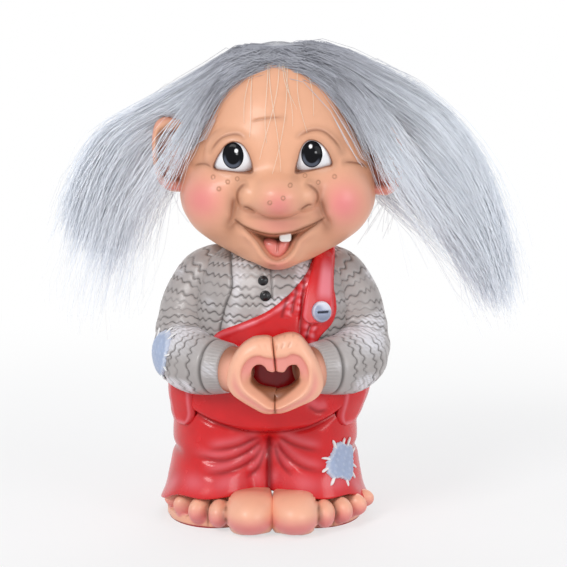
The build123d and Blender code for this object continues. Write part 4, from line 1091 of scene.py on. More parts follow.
for side, name in ((-1, "left_hand"), (1, "right_hand")):
    window, edge = (curve_through(table[name], HAND_ROWS) for table in (HAND_WINDOWS, HAND_EDGES))
    finger, thumb = (curve_through(section, 72, True)[None] for section in (FINGER_SECTION, THUMB_SECTION))
    along = np.linspace(0, 1, HAND_ROWS)[:, None]
    thumbs = rise(along, 0.46, 0.66)
    across, depth = (finger[..., n] * (1 - thumbs) + thumb[..., n] * thumbs for n in (0, 1))
    across = across - 0.55 * rise(along, 0.70, 0.98) * rise(0.2 - across, 0, 0.2) * rise(depth, -37.2, -33.5)
    x, z = (window[:, n:n + 1] + (edge[:, n:n + 1] - window[:, n:n + 1]) * across for n in (0, 1))
    seam = np.minimum(along, 1 - along)
    depth = depth + 1.5 * bell(seam, 0.022) * rise(-depth, 33.0, 38.5)
    strokes = np.sin(np.arctan2(z - 52.0, x - 1.2) * 34 + 3.0 * along) - 0.55 * np.sin(across * 23)
    strokes = rise(strokes, 0.45, 1.0)
    strokes = strokes * rise(across, 0.55, 0.7) * rise(1 - along, 0.70, 0.85) * (1.0 if side > 0 else 0.35)
    depth = depth + 0.16 * strokes
    shrink = np.clip(seam / 0.012, 0.25, 1)
    rings = np.stack([x, -36.0 + (depth + 36.0) * (0.92 + 0.08 * shrink), z], -1)
    # Painted shade on the window's inner wall, the seam where the hands meet, the outer back edge and the finger
    # lines.
    inside = rise(-depth, 38.0, 35.5) * rise(0.30 - across, 0, 0.22)
    wash = np.maximum.reduce([
        0.95 * inside, 0.85 * bell(seam, 0.010) + 0 * across,
        0.45 * rise(across, 0.94, 1.0) * rise(-depth, 38.0, 35.0), 0.25 * strokes,
    ])
    bevel = rise(across, -0.01, 0.05) * rise(0.50 - across, 0, 0.12) * (1 - thumbs) * rise(-depth, 37.0, 38.2)
    under = 0.55 * thumbs * bell(across - 0.68, 0.12) * rise(-depth, 37.0, 38.5)
    wrist = curve_through([(side * out + shift, *rest) for out, shift, *rest in WRIST], 26)
    aside, upward = carried_frames(wrist[:, :3])
    around = full_turn(48)[None, :, None]
    size = wrist[:, 3][:, None, None] * np.concatenate([[0.3, 0.8], np.ones(22), [0.8, 0.3]])[:, None, None]
    ring = np.cos(around) * aside[:, None] + np.sin(around) * upward[:, None] * 1.08
    tube = wrist[:, None, :3] + size * ring
    # Painted shade where the wrist goes into the cuff.
    cuffs = 0.80 * rise(tube[..., 1], -38.0, -33.0)
    hand = add_piece(
        name + "_cast", *joined([closed_rings(rings), closed_rings(tube)]),
        wash=np.concatenate([ring_mask(wash), ring_mask(cuffs)]),
        rosy=np.concatenate([ring_mask(np.maximum(0.62 * bevel, under)), ring_mask(0.2 + 0 * cuffs)]),
    )
    fit(hand, pale_skin_paint, "skin_paint", name)


# Head: one big casting with round cheeks, a wide nose and an open, smiling mouth. Lids and folds are cut in
# it and freckles stand up, ringed in brown. Painted shade darkens the creases, the lids, the mouth, the
# folds beside the nose and the temples under the wig, and the cheeks and nose are rouged. It sits on the
# neck.
HEAD_X = 1.9
CHIN_Z = 82.2
HEAD_HEIGHT = 67.3
HEAD_LEVELS = (
    (0.0, 0.0, 0.0, -0.47), (0.021, 0.290, 0.255, -0.490), (0.056, 0.470, 0.435, -0.380),
    (0.101, 0.660, 0.635, -0.255), (0.160, 0.840, 0.800, -0.145), (0.235, 0.960, 0.925, -0.072),
    (0.310, 1.0, 0.980, -0.036), (0.400, 0.987, 0.996, -0.011), (0.500, 0.945, 1.0, 0.0),
    (0.620, 0.880, 0.978, 0.022), (0.740, 0.775, 0.900, 0.036), (0.844, 0.630, 0.746, 0.043),
    (0.926, 0.445, 0.536, 0.050), (0.978, 0.240, 0.290, 0.054), (1.0, 0.0, 0.0, 0.054),
)
HEAD_HALF_WIDTH = 31.0
HEAD_HALF_DEPTH = 27.6
EYES = ((-11.6, -21.9, 117.1, -0.36), (12.3, -21.9, 117.2, 0.30))
EYE_RADII = (8.2, 4.3, 6.9)
EYE_EDGES = (
    (
        (-17.5, 112.9), (-13.2, 112.3), (-8.6, 111.9), (-5.9, 112.1), (-5.7, 113.9), (-6.6, 117.0),
        (-8.1, 119.7), (-9.9, 121.0), (-11.9, 121.2), (-13.9, 120.1), (-15.4, 118.1), (-16.8, 115.7),
    ),
    (
        (7.5, 112.0), (10.5, 112.4), (14.0, 113.0), (16.5, 113.6), (18.5, 114.1), (18.0, 116.4),
        (16.8, 118.7), (15.0, 120.7), (13.0, 121.7), (11.2, 121.7), (9.7, 120.5), (8.7, 118.5), (8.0, 115.9),
        (7.4, 113.9),
    ),
)
UPPER_LIP = (
    (-10.9, 97.7), (-8.7, 95.9), (-4.6, 94.2), (0.4, 93.2), (6.0, 93.8), (10.0, 95.2), (13.5, 96.7),
    (16.0, 98.2),
)
LOWER_LIP = (
    (13.5, 95.9), (11.0, 94.1), (8.9, 92.3), (7.6, 90.6), (6.6, 88.4), (5.0, 86.3), (2.9, 85.0), (0.9, 84.9),
    (-1.0, 86.0), (-2.7, 88.0), (-4.1, 90.2), (-5.9, 92.4), (-8.3, 95.0),
)
# Each crease has a line, a width, a depth and the strength of its painted shade.
CREASES = (
    (
        ((-19.2, 116.4), (-17.7, 119.4), (-15.2, 122.2), (-12.1, 123.4), (-9.4, 123.2), (-7.2, 121.2)),
        0.50, 0.55, 0.75,
    ),
    (
        (
            (7.3, 121.2), (8.7, 123.1), (11.5, 124.4), (14.0, 124.7), (16.5, 123.9), (19.1, 121.6),
            (21.1, 118.8), (22.4, 115.8),
        ),
        0.50, 0.55, 0.75,
    ),
    (((-25.4, 112.8), (-22.0, 113.9), (-19.7, 114.0), (-17.6, 112.9)), 0.42, 0.55, 0.80),
    (((20.6, 114.6), (23.8, 114.6), (25.9, 114.2), (28.4, 113.3), (30.5, 112.0)), 0.42, 0.55, 0.85),
    (((-6.6, 127.0), (-4.6, 127.7), (-1.6, 128.2), (1.4, 128.5), (5.5, 128.2)), 0.35, 0.40, 0.52),
    (
        ((-6.2, 109.3), (-8.4, 108.6), (-9.9, 106.9), (-10.3, 105.0), (-9.9, 103.0), (-8.6, 101.2)),
        0.60, 0.9, 0.85,
    ),
    (
        ((9.4, 109.5), (11.5, 108.6), (13.5, 106.9), (14.1, 105.1), (13.7, 103.3), (12.3, 101.7)),
        0.60, 0.9, 0.85,
    ),
    (((-8.9, 101.9), (-7.3, 101.9), (-5.9, 101.2), (-4.3, 100.0)), 0.42, 0.7, 0.9),
    (((13.0, 102.5), (11.2, 102.7), (9.7, 101.9), (8.3, 100.5)), 0.42, 0.7, 0.9),
    (((-5.0, 100.6), (-2.0, 99.1), (1.7, 98.5), (5.4, 98.9), (8.9, 100.8)), 0.42, 0.35, 0.5),
    (((-10.2, 106.4), (-11.0, 103.4), (-11.5, 100.6), (-12.2, 97.8), (-13.6, 94.6)), 0.75, 1.0, 0.62),
    (((14.0, 106.0), (14.9, 103.0), (15.9, 100.2), (17.2, 97.4), (18.2, 94.4)), 0.75, 1.0, 0.62),
    (((-1.0, 83.5), (0.3, 83.3), (1.8, 83.5)), 0.3, 0.2, 0.3),
)
SMILE_SHADES = (
    (-11.4, 101.0, 1.9, 4.8), (-12.4, 96.4, 2.0, 3.0), (15.5, 100.8, 1.9, 4.8), (16.9, 96.4, 2.0, 3.0),
    (1.9, 98.6, 6.5, 0.9),
)
FRECKLES = (
    (-17.7, 110.5), (-13.2, 109.2), (-10.3, 110.2), (-15.9, 107.1), (10.2, 111.3), (14.2, 109.2),
    (19.2, 110.7), (5.7, 108.9), (3.6, 105.3), (-0.4, 103.9),
)
BLUSHES = (
    (-21.4, 103.6, 6.6, 0.80), (21.9, 102.6, 6.6, 0.88), (2.2, 103.0, 4.6, 0.72), (2.0, 96.6, 7.0, 0.45),
    (1.8, 83.6, 4.0, 0.50),
)
CHEEK = ((16.8, -15.6, 102.6), (12.2, 12.2, 12.0))
UPPER_LIP_BALL = ((2.0, -22.2, 97.6), (13.0, 6.4, 6.8))
CHIN_BALL = ((1.8, -20.0, 87.6), (8.2, 5.6, 6.2))
NOSE_ROOT = ((2.0, -20.5, 112.5), (6.5, 6.6, 11.0))
NOSE_BALL = ((2.06, -29.8, 104.8), (8.4, 8.5, 6.4))
NOSTRIL = ((8.3, -27.6, 105.2), (4.5, 5.9, 4.7))


def head_level(height):
    """The head's level oval at each height: the squares of its half width and half depth, over the head's own
    and run smoothly between the levels given, and the y of its middle."""
    levels = np.array(HEAD_LEVELS)
    share = (height - CHIN_Z) / HEAD_HEIGHT
    wide, deep = (smooth_between(levels[:, 0], levels[:, n] ** 2, share) for n in (1, 2))
    return wide, deep, HEAD_HALF_DEPTH * smooth_between(levels[:, 0], levels[:, 3], share)


def head_oval(points):
    """How far points lie outside the plain head: an upright stack of level ovals."""
    share = (points[..., 2] - CHIN_Z) / HEAD_HEIGHT
    wide, deep, back = head_level(points[..., 2])
    wide, deep = (np.sqrt(np.clip(square, 1e-4, 1)) for square in (wide, deep))
    wide, deep = HEAD_HALF_WIDTH * wide, HEAD_HALF_DEPTH * deep
    outside = np.hypot((points[..., 0] - HEAD_X) / wide, (points[..., 1] - back) / deep) - 1
    outside = outside * np.minimum(np.minimum(wide, deep), 24)
    return np.maximum(outside, np.maximum(share - 1, -share) * HEAD_HEIGHT)


def both_sides(points, ball):
    """How far points lie outside a ball on the left and one on the right of the face's middle."""
    (out, y, z), radii = ball
    return [ball_field(points, (HEAD_X + side * out, y, z), radii) for side in (-1, 1)]


def face_field(points):
    """How far points lie outside the head with its cheeks, upper lip, chin, nose, nostrils' wings and
    lids."""
    middle = [ball_field(points, *ball) for ball in (UPPER_LIP_BALL, CHIN_BALL, NOSE_ROOT)]
    face = melted([head_oval(points), *both_sides(points, CHEEK), *middle], 1.3)
    nose = melted([ball_field(points, *NOSE_BALL), *both_sides(points, NOSTRIL)], 0.7)
    bridge = 0.65 + 1.5 * rise(points[..., 2], 104.5, 110.0)
    fields = [melted([face, nose], bridge)]
    for x, y, z, turn in EYES:
        fields.append(ball_field(points, (x, y + 0.5, z + 0.2), [radius + 1.0 for radius in EYE_RADII], turn))
    return melted(fields, 0.65)


def outline_gap(x, z, outline):
    """The signed distance from each (x, z) to a closed outline, below 0 inside it. A place is inside where a
    level line from it crosses the outline an odd number of times."""
    curve = curve_through(outline, len(outline) * 8, True)
    after = np.roll(curve, -1, 0)
    best, within = np.full(np.shape(x), 1e9), np.zeros(np.shape(x), bool)
    for start, end in zip(curve, after):
        run = end - start
        t = np.clip(((x - start[0]) * run[0] + (z - start[1]) * run[1]) / max(run @ run, 1e-9), 0, 1)
        best = np.minimum(best, np.hypot(x - start[0] - t * run[0], z - start[1] - t * run[1]))
        if abs(run[1]) > 1e-9:
            crosses = ((start[1] > z) != (end[1] > z)) & (x < start[0] + (z - start[1]) / run[1] * run[0])
            within ^= crosses
    return np.where(within, -best, best)


HEAD_MIDDLE = np.array((HEAD_X, -2.0, 107.0))
away = np.concatenate([np.linspace(0.004, 1.32, 138, endpoint=False), np.linspace(1.32, math.pi - 0.02, 44)])
ways = fan(away, 430, "front")
reach = outermost(face_field, HEAD_MIDDLE, ways, 10.0, 60.0, 70)
rings = HEAD_MIDDLE + ways * reach[..., None]
x, z = rings[..., 0], rings[..., 2]
front = rise(-rings[..., 1], 3.0, 9.0)
pushed, wash, rosy = np.zeros(x.shape), np.zeros(x.shape), np.zeros(x.shape)
# Each crease is cut in and darkened with painted shade, narrow in it and softer beside it.
for line, width, depth, tint in CREASES:
    cut = groove(x, z, line, width, 0.28) * front
    pushed += depth * cut
    pushed -= 0.20 * depth * groove(x, z, line, width * 2.6) * front
    wash = np.maximum(wash, tint * cut)
    wash = np.maximum(wash, 0.38 * tint * groove(x, z, line, width * 2.8) * front)
# Round each eye outline: painted shade on the lids' edge, in the socket and softly around it.
for outline in EYE_EDGES:
    gap = outline_gap(x, z, outline)
    pushed += 3.0 * rise(gap, 0.10, -0.55) * front
    wash = np.maximum(wash, front * np.maximum(0.9 * bell(gap + 0.1, 0.5), 0.9 * rise(gap, 0.2, -0.3)))
    wash = np.maximum(wash, 0.30 * bell(np.clip(gap, 0, None), 1.6) * front)
lip_gap, lip_along = line_distance(x, z, UPPER_LIP)
mouth_gap = outline_gap(x, z, UPPER_LIP + LOWER_LIP)
pushed += 5.6 * rise(mouth_gap, 0.15, -2.6) ** 0.8 * front
lip_z = smooth_between(*np.array(UPPER_LIP).T, x)
under_lip = 0.9 * bell(lip_gap, 2.4) * rise(z, lip_z + 0.15, lip_z - 0.35)
pushed += under_lip * rise(lip_along, 0, 0.08) * rise(1 - lip_along, 0, 0.08) * front
pushed -= 0.75 * bell(mouth_gap - 1.4, 1.0) * rise(94.5 - z, 0, 3.0) * front
# Painted shade under the upper lip, inside the mouth and at its corners.
wash = np.maximum(wash, front * np.maximum.reduce([
    0.92 * bell(lip_gap, 0.55), 0.9 * rise(mouth_gap, -0.3, -1.6), 0.5 * bell(mouth_gap, 0.6),
    0.55 * bell(lip_gap, 1.6) * rise(np.abs(x - HEAD_X), 8.0, 13.0),
]))
for spot in SMILE_SHADES:
    wash = np.maximum(wash, 0.58 * oval_spot(x, z, *spot) * front)
for px, pz in FRECKLES:
    gap = np.hypot(x - px, z - pz)
    ring = bell(gap - 0.55, 0.20) * front
    pushed -= 0.22 * rise(gap, 0.75, 0.35) * front
    wash = np.maximum(wash, 0.62 * ring)
for bx, bz, size, tint in BLUSHES:
    rosy = np.maximum(rosy, tint * bell(np.hypot(x - bx, z - bz), size) * front)
rings[..., 1] += pushed
# Painted shade on the temples under the wig.
temple = rise(z, 128.0, 142.0) * rise(rings[..., 1], -18.0, -10.0)
cast("head_cast", rings, skin_paint, "skin_paint", "head",
     wash=np.maximum(wash, 0.35 * temple), rosy=rosy * (1 - wash))


# Eyes: two glossy white balls set in the lids, darkened with painted shade where the lids meet them, each
# with a black iris painted on. The iris has a dim blue-grey painted reflection round its foot, and a painted
# highlight, a white glint with a soft glow beside it, where the light falls.
EYE_WHITE = (0.88, 0.89, 0.92)
EYE_CORNER = (0.50, 0.42, 0.44)
IRIS_BLACK = (0.006, 0.006, 0.008)
IRIS_CRESCENT = (0.13, 0.15, 0.20)
IRIS_LIGHT = (0.97, 0.97, 0.98)
IRISES = ((-11.6, 117.1, -10.6, 118.6), (12.3, 117.5, 11.9, 119.9))
IRIS_HALF = (3.25, 4.05)


def eye_front(x, z, eye):
    """The y of an eyeball's front at x and z: the nearer root of its turned oval's equation."""
    cx, cy, cz, turn = EYES[eye]
    wide, deep, high = EYE_RADII
    c, s, px = math.cos(turn), math.sin(turn), x - cx
    a = (s / wide) ** 2 + (c / deep) ** 2
    b = 2 * px * c * s * (1 / wide**2 - 1 / deep**2)
    k = (px * c / wide) ** 2 + (px * s / deep) ** 2 + ((z - cz) / high) ** 2 - 1
    return cy + (-b - np.sqrt(np.clip(b * b - 4 * a * k, 0, None))) / (2 * a)


# The corner layer on the eyeball is painted shade from the lids. On the iris, the crescent layer is a painted
# reflection and the light layer a painted highlight.
eye_paint = painted("eye_paint", EYE_WHITE, [("corner", EYE_CORNER)], roughness=0.16, mottle=0.01,
                    mottle_scale=300, grain=0.0, coat=0.7)
iris_paint = painted("iris_paint", IRIS_BLACK, [("crescent", IRIS_CRESCENT), ("light", IRIS_LIGHT)],
                     roughness=0.10, mottle=0.0, mottle_scale=300, grain=0.0, gloss=0.08)
share = np.linspace(0.03, 1, 20)[:, None]
around = full_turn(64)[None, :]
for number, name in enumerate(("left_eye", "right_eye")):
    cx, cy, cz, turn = EYES[number]
    ways = fan(np.linspace(0.02, math.pi - 0.02, 44), 84, "front") * np.array(EYE_RADII)
    rings = np.array((cx, cy, cz)) + turned(ways, -turn)
    gap = outline_gap(rings[..., 0], rings[..., 2], EYE_EDGES[number])
    # The ball is darkened with painted shade where the lids meet it.
    cast(name + "_ball", rings, eye_paint, "eye_white", name, corner=0.8 * rise(gap, -0.9, 0.2))
    ix, iz, lx, lz = IRISES[number]
    x, z = ix + share * np.cos(around) * IRIS_HALF[0], iz + share * np.sin(around) * IRIS_HALF[1]
    front = eye_front(x, z, number)
    lift = 0.26 * np.sqrt(1 - np.clip((share - 0.75) / 0.25, 0, 1) ** 2) + 0.02
    rings = np.concatenate([np.stack([x, front - lift, z], -1), np.stack([x, front + 0.25, z], -1)[::-1]])
    # A painted reflection in a crescent round the foot of the iris, and a painted highlight: a white glint with
    # a soft glow beside it.
    crescent = rise(share, 0.62, 0.72) * rise(share, 0.96, 0.88) * rise(-np.sin(around + 0.25), 0.05, 0.75)
    light = rise(0.62 - np.hypot(x - lx, (z - lz) * 0.9), 0, 0.16)
    light = light + 0.4 * rise(0.5 - np.hypot(x - ix - 1.2, z - iz - 0.6), 0, 0.5)
    cast(name.replace("eye", "iris"), rings, iris_paint, "pupil_black", name.replace("eye", "pupil"),
         crescent=two_faces(0.75 * crescent), light=two_faces(light))


# Tongue and tooth: a pink tongue that rests on the lower lip, and one short square tooth under the upper
# lip. Both are small castings glued in the mouth, with a gloss paint. The top of the tooth is darkened with
# painted shade under the lip.
TONGUE_EDGE = (
    (-2.9, 90.9), (-2.9, 89.0), (-1.6, 86.9), (0.6, 85.5), (3.0, 85.5), (5.0, 87.2), (6.3, 89.6), (6.4, 91.4),
    (4.2, 91.6), (2.2, 90.9), (0.6, 91.5), (-1.4, 91.8),
)
TONGUE_PINK = (0.76, 0.22, 0.18)
TOOTH_WHITE = (0.93, 0.92, 0.88)
TONGUE_MIDDLE = (1.8, 88.7)
TONGUE_SHADE = (0.24, 0.06, 0.04)
TOOTH_ROOT = (0.45, 0.22, 0.14)
share = np.linspace(0.02, 1, 30)[:, None]
edge = curve_through(TONGUE_EDGE, 110, True)[None]
x, z = (middle + (edge[..., n] - middle) * share for n, middle in enumerate(TONGUE_MIDDLE))
fall = np.sqrt(1 - np.clip(share, 0, 0.999) ** 2.6)
furrow = bell(x - 1.9 - 0.04 * (z - 88), 0.45) * rise(z, 86.0, 88.0)
y = -20.6 - 3.1 * fall - 0.25 * (TONGUE_MIDDLE[1] - z) + 0.55 * furrow
rings = np.concatenate([np.stack([x, y, z], -1), np.stack([x, -18.5 + 0 * y, z], -1)[::-1]])
shade = np.clip(0.75 * rise(share, 0.80, 1.0) + 0.4 * furrow + 0.45 * rise(z, 89.6, 91.2), 0, 1)
tongue_paint = painted("tongue_paint", TONGUE_PINK, [("shade", TONGUE_SHADE)], roughness=0.30, mottle=0.05,
                       mottle_scale=500, grain=0.12, coat=0.3)
cast("tongue_cast", rings, tongue_paint, "tongue_paint", "tongue", shade=two_faces(shade, 1))

steep = np.linspace(-math.pi / 2 + 0.06, math.pi / 2 - 0.06, 30)[:, None]
around = full_turn(64)[None, :]


def squared(value, power):
    """A sine or cosine drawn out towards a square's: its size raised to a power below 1, its sign kept."""
    return np.sign(value) * np.abs(value) ** power


rings = np.stack([
    4.25 + 1.85 * squared(np.cos(steep), 0.55) * squared(np.cos(around), 0.45),
    -23.6 + 1.5 * squared(np.cos(steep), 0.55) * squared(np.sin(around), 0.45),
    92.4 + 1.9 * squared(np.sin(steep), 0.5) + 0 * around,
], -1)
# The root layer is painted shade on the top of the tooth, under the lip.
tooth_paint = painted("tooth_paint", TOOTH_WHITE, [("root", TOOTH_ROOT)], roughness=0.18, mottle=0.02,
                      mottle_scale=400, grain=0.0, coat=0.5)
cast("tooth_cast", rings, tooth_paint, "tooth_paint", "tooth", root=0.7 * rise(rings[..., 2], 93.0, 94.2))


# Ears: two thick cast leaves pegged to the sides of the head, leaning outwards at the top. The shell inside
# the rim is rouged pink and darkened with painted shade, and painted shade darkens each ear where it meets
# the head.
EARS = {
    "left_ear": (
        (
            (-22.0, 126.5), (-27.0, 127.8), (-33.0, 127.9), (-36.4, 126.0), (-37.6, 121.8), (-37.7, 117.0),
            (-37.3, 112.4), (-36.0, 107.6), (-33.4, 104.8), (-29.4, 104.0), (-24.0, 104.6), (-20.0, 110.0),
            (-20.0, 119.0),
        ),
        -1,
    ),
    "right_ear": (
        (
            (26.0, 125.0), (31.0, 126.3), (36.5, 125.4), (39.8, 122.0), (41.2, 117.4), (41.6, 112.6),
            (41.2, 108.6), (39.6, 105.0), (36.6, 103.0), (32.8, 103.2), (27.6, 104.6), (23.6, 110.0),
            (24.0, 119.0),
        ),
        1,
    ),
}
EAR_SECTION = (
    (0.02, 0.6), (0.30, 0.4), (0.48, -0.2), (0.60, -1.2), (0.70, -2.5), (0.80, -3.2), (0.90, -2.8),
    (0.97, -1.4), (1.0, 0.2), (0.97, 1.8), (0.86, 2.8), (0.60, 3.3), (0.30, 3.5), (0.02, 3.6),
)
EAR_ROWS = 84
for name, (outline, side) in EARS.items():
    edge = curve_through(outline, 116, True)[None]
    section = curve_through(EAR_SECTION, EAR_ROWS)
    middle = edge.mean(1) + np.array((side * 1.5, -1.5))
    share, depth = section[:, :1], section[:, 1:]
    x, z = (middle[:, n] + (edge[..., n] - middle[:, n]) * share for n in (0, 1))
    lobe = rise(z, 110.5, 106.0)
    out = np.abs(x - HEAD_X)
    y = -2.6 + depth * (1 + 0 * x) - 0.4 * lobe * (depth < 0) - 0.10 * (out - 32.0)
    bowl = np.arange(EAR_ROWS)[:, None] < EAR_ROWS / 2
    y = y - bowl * 1.44 * lobe * rise(share, 0.5, 0.1)
    ridge = bell((x - HEAD_X) * side - 31.5 - 0.10 * (z - 113), 1.4)
    ridge = ridge * rise(z, 108.5, 112.0) * rise(121.0 - z, 0, 5.0)
    y = y - bowl * 1.5 * ridge * rise(0.66 - share, 0, 0.15)
    inner = bowl * rise(0.72 - share, 0, 0.16)
    # Painted shade in the shell, under the rim and where the ear meets the head.
    wash = inner * (0.62 - 0.35 * ridge) * (1 - 0.7 * lobe) + bowl * 0.45 * bell(share - 0.62, 0.06)
    wash = np.maximum(np.clip(wash, 0, 1), 0.55 * rise(30.6 - out, 0, 3.0))
    rosy = np.clip(0.35 * inner + 0.5 * bowl * lobe + 0.25 * bell(share - 0.95, 0.07), 0, 1)
    cast(name + "_cast", np.stack([x, y, z], -1), skin_paint, "skin_paint", name, wash=wash, rosy=rosy)


# Wig: long straight grey fur combed out from a parting to both sides and down the back. A woven backing cap
# is glued on the head behind the hairline, and every lock is a bundle of fine strands that gather into
# tufts.
FUR_ROOT = (0.46, 0.47, 0.53)
FUR_TIP = (0.90, 0.94, 1.0)
FUR_DARK = (0.17, 0.17, 0.19)
CAP_EDGE = (
    (-180, 128), (-150, 124), (-120, 112), (-95, 99), (-76, 92), (-62, 84), (-54, 62), (-44, 41), (-28, 30),
    (-14, 26), (0, 25), (14, 26), (28, 31), (44, 42), (56, 60), (66, 84), (80, 92), (95, 99), (120, 112),
    (150, 124), (180, 128),
)
CAP_MIDDLE = np.array((HEAD_X, 0.0, 118.0))
# The tufts of each lock, the steps of each guide, a wave's full turn, and the y behind which tucked strands keep
# beside the ears.
TUFTS = 110
GUIDE_STEPS = 60
WAVE = 6.3
EAR_BACK = 3.2
# The dark layer is a darker tone at random per tuft, and painted shade at the roots.
fur_paint = painted("fur_fibre", FUR_ROOT, [("tip", FUR_TIP), ("dark", FUR_DARK)], roughness=0.42,
                    mottle=0.05, mottle_scale=200, grain=0.0, sheen=0.25)

around = full_turn(210, -math.pi)[None, :]
edge = np.radians(smooth_between(*np.array(CAP_EDGE).T, np.degrees(around)))
share = np.linspace(0.02, 1, 54)[:, None]
away = share * edge
ways = [np.sin(away) * np.sin(around), -np.sin(away) * np.cos(around), np.cos(away) + 0 * around]
ways = np.stack(ways, -1)
reach = outermost(head_oval, CAP_MIDDLE, ways, 12.0, 48.0, 44)
strand = np.sin(around * 90 + 3 * np.sin(away * 7))
lift = 1.5 + 0.22 * strand * np.sin(around * 37 + away * 5)
lift = lift * np.sqrt(1 - np.clip((share - 0.93) / 0.07, 0, 1) ** 2 * 0.98)
outer, inner = (CAP_MIDDLE + ways * (reach + offset)[..., None] for offset in (lift, -0.9))
shade = np.clip(0.55 + 0.45 * strand, 0, 1)
cast("wig_backing_cap", np.concatenate([outer, inner[::-1]]), fur_paint, "wig_backing", "wig_cap",
     tip=two_faces(0 * shade), dark=two_faces(0.30 + 0.35 * shade, 0.5))

# The guides of each lock are its upper and lower edge in front, then its upper and lower edge behind.
FUR_GUIDES = {
    "left": (
        (
            (5, -12, 149.5), (-11, -12.5, 147.5), (-22, -10, 141.5), (-33, -6, 135), (-46, 2, 128),
            (-55, 3, 122.5), (-62, 3, 112), (-67, 4, 101), (-70.5, 4, 88),
        ),
        (
            (6, -15, 145), (-11, -16, 139.5), (-18.5, -17.0, 131), (-22.5, -14, 124), (-28, 0, 121.5),
            (-34, 6, 116), (-40, 7, 106), (-44.5, 7, 95), (-48.5, 6, 82),
        ),
        (
            (5, 6, 151.5), (-11, 9, 149.5), (-21, 10, 143), (-32, 11, 136), (-44, 12, 128), (-53, 12, 120),
            (-60, 11, 109), (-65, 10, 97), (-67, 9, 82),
        ),
        (
            (0, 18, 144), (-15, 20, 136), (-24, 19, 126), (-30, 16, 117), (-36, 14, 108), (-42, 13, 98),
            (-47, 11, 88), (-52, 10, 78), (-56, 9, 68),
        ),
    ),
    "right": (
        (
            (-3, -11, 150.5), (17, -11, 149), (32, -10, 143), (45, -5, 136.5), (57, 0, 128), (66, 1, 117),
            (72, 1, 104), (76.5, 1.5, 88), (80, 2, 66),
        ),
        (
            (-4, -15, 145), (13, -17, 140), (22, -17.0, 130), (27.5, -13, 120), (32, 1, 114),
            (38.5, 4, 107.5), (47.5, 4, 99.5), (56.5, 3, 91), (66, 2, 78), (75, 2, 62),
        ),
        (
            (-3, 7, 152), (17, 9, 151), (31, 11, 145), (43, 13, 138), (54, 13, 128), (62, 12, 115),
            (68, 11, 100), (72, 10, 84), (75, 9, 66),
        ),
        (
            (2, 18, 144), (17, 20, 136), (26, 19, 126), (34, 16, 114), (43, 14, 104), (52, 13, 94),
            (60, 12, 82), (67, 10, 70), (72, 8, 60),
        ),
    ),
    "back": (
        (
            (-3, 6, 152), (-13, 17, 147), (-21, 25, 136), (-26, 30, 121), (-27, 32, 106), (-25, 32, 95),
            (-21, 31, 86),
        ),
        (
            (6.8, 6, 152), (16.8, 17, 147), (24.8, 25, 136), (29.8, 30, 121), (30.8, 32, 106), (28.8, 32, 95),
            (24.8, 31, 86),
        ),
        (
            (-3, 4, 149), (-12, 14, 143), (-19, 21, 134), (-23, 26, 120), (-24, 28, 106), (-22, 28, 95),
            (-19, 27, 88),
        ),
        (
            (6.8, 4, 149), (15.8, 14, 143), (22.8, 21, 134), (26.8, 26, 120), (27.8, 28, 106), (25.8, 28, 95),
            (22.8, 27, 88),
        ),
    ),
}


def thin_tubes(middles, radii, facing):
    """Three-sided tubes along many lines at once, closed at both ends: a flat side turned towards facing,
    and a ridge behind it. Each station's ring stands square to the line there."""
    count, stations, _ = middles.shape
    ahead = np.gradient(middles, axis=1)
    ahead /= np.maximum(np.linalg.norm(ahead, axis=-1, keepdims=True), 1e-9)
    aside = np.cross(ahead, facing)
    aside /= np.maximum(np.linalg.norm(aside, axis=-1, keepdims=True), 1e-9)
    behind = np.cross(ahead, aside)
    behind *= -np.sign((behind * facing).sum(-1, keepdims=True) + 1e-9)
    ring = np.stack([aside, -aside, behind * 1.1], 2)
    points = middles[:, :, None] + ring * radii[:, :, None, None]
    first = (np.arange(count) * stations * 3)[:, None]
    quads = (first[..., None] + grid_faces(stations, 3, True)[None]).reshape(-1, 4)
    last = first + (stations - 1) * 3
    ends = np.concatenate([first + np.array((2, 1, 0)), last + np.array((0, 1, 2))])
    return points.reshape(-1, 3), quads, ends


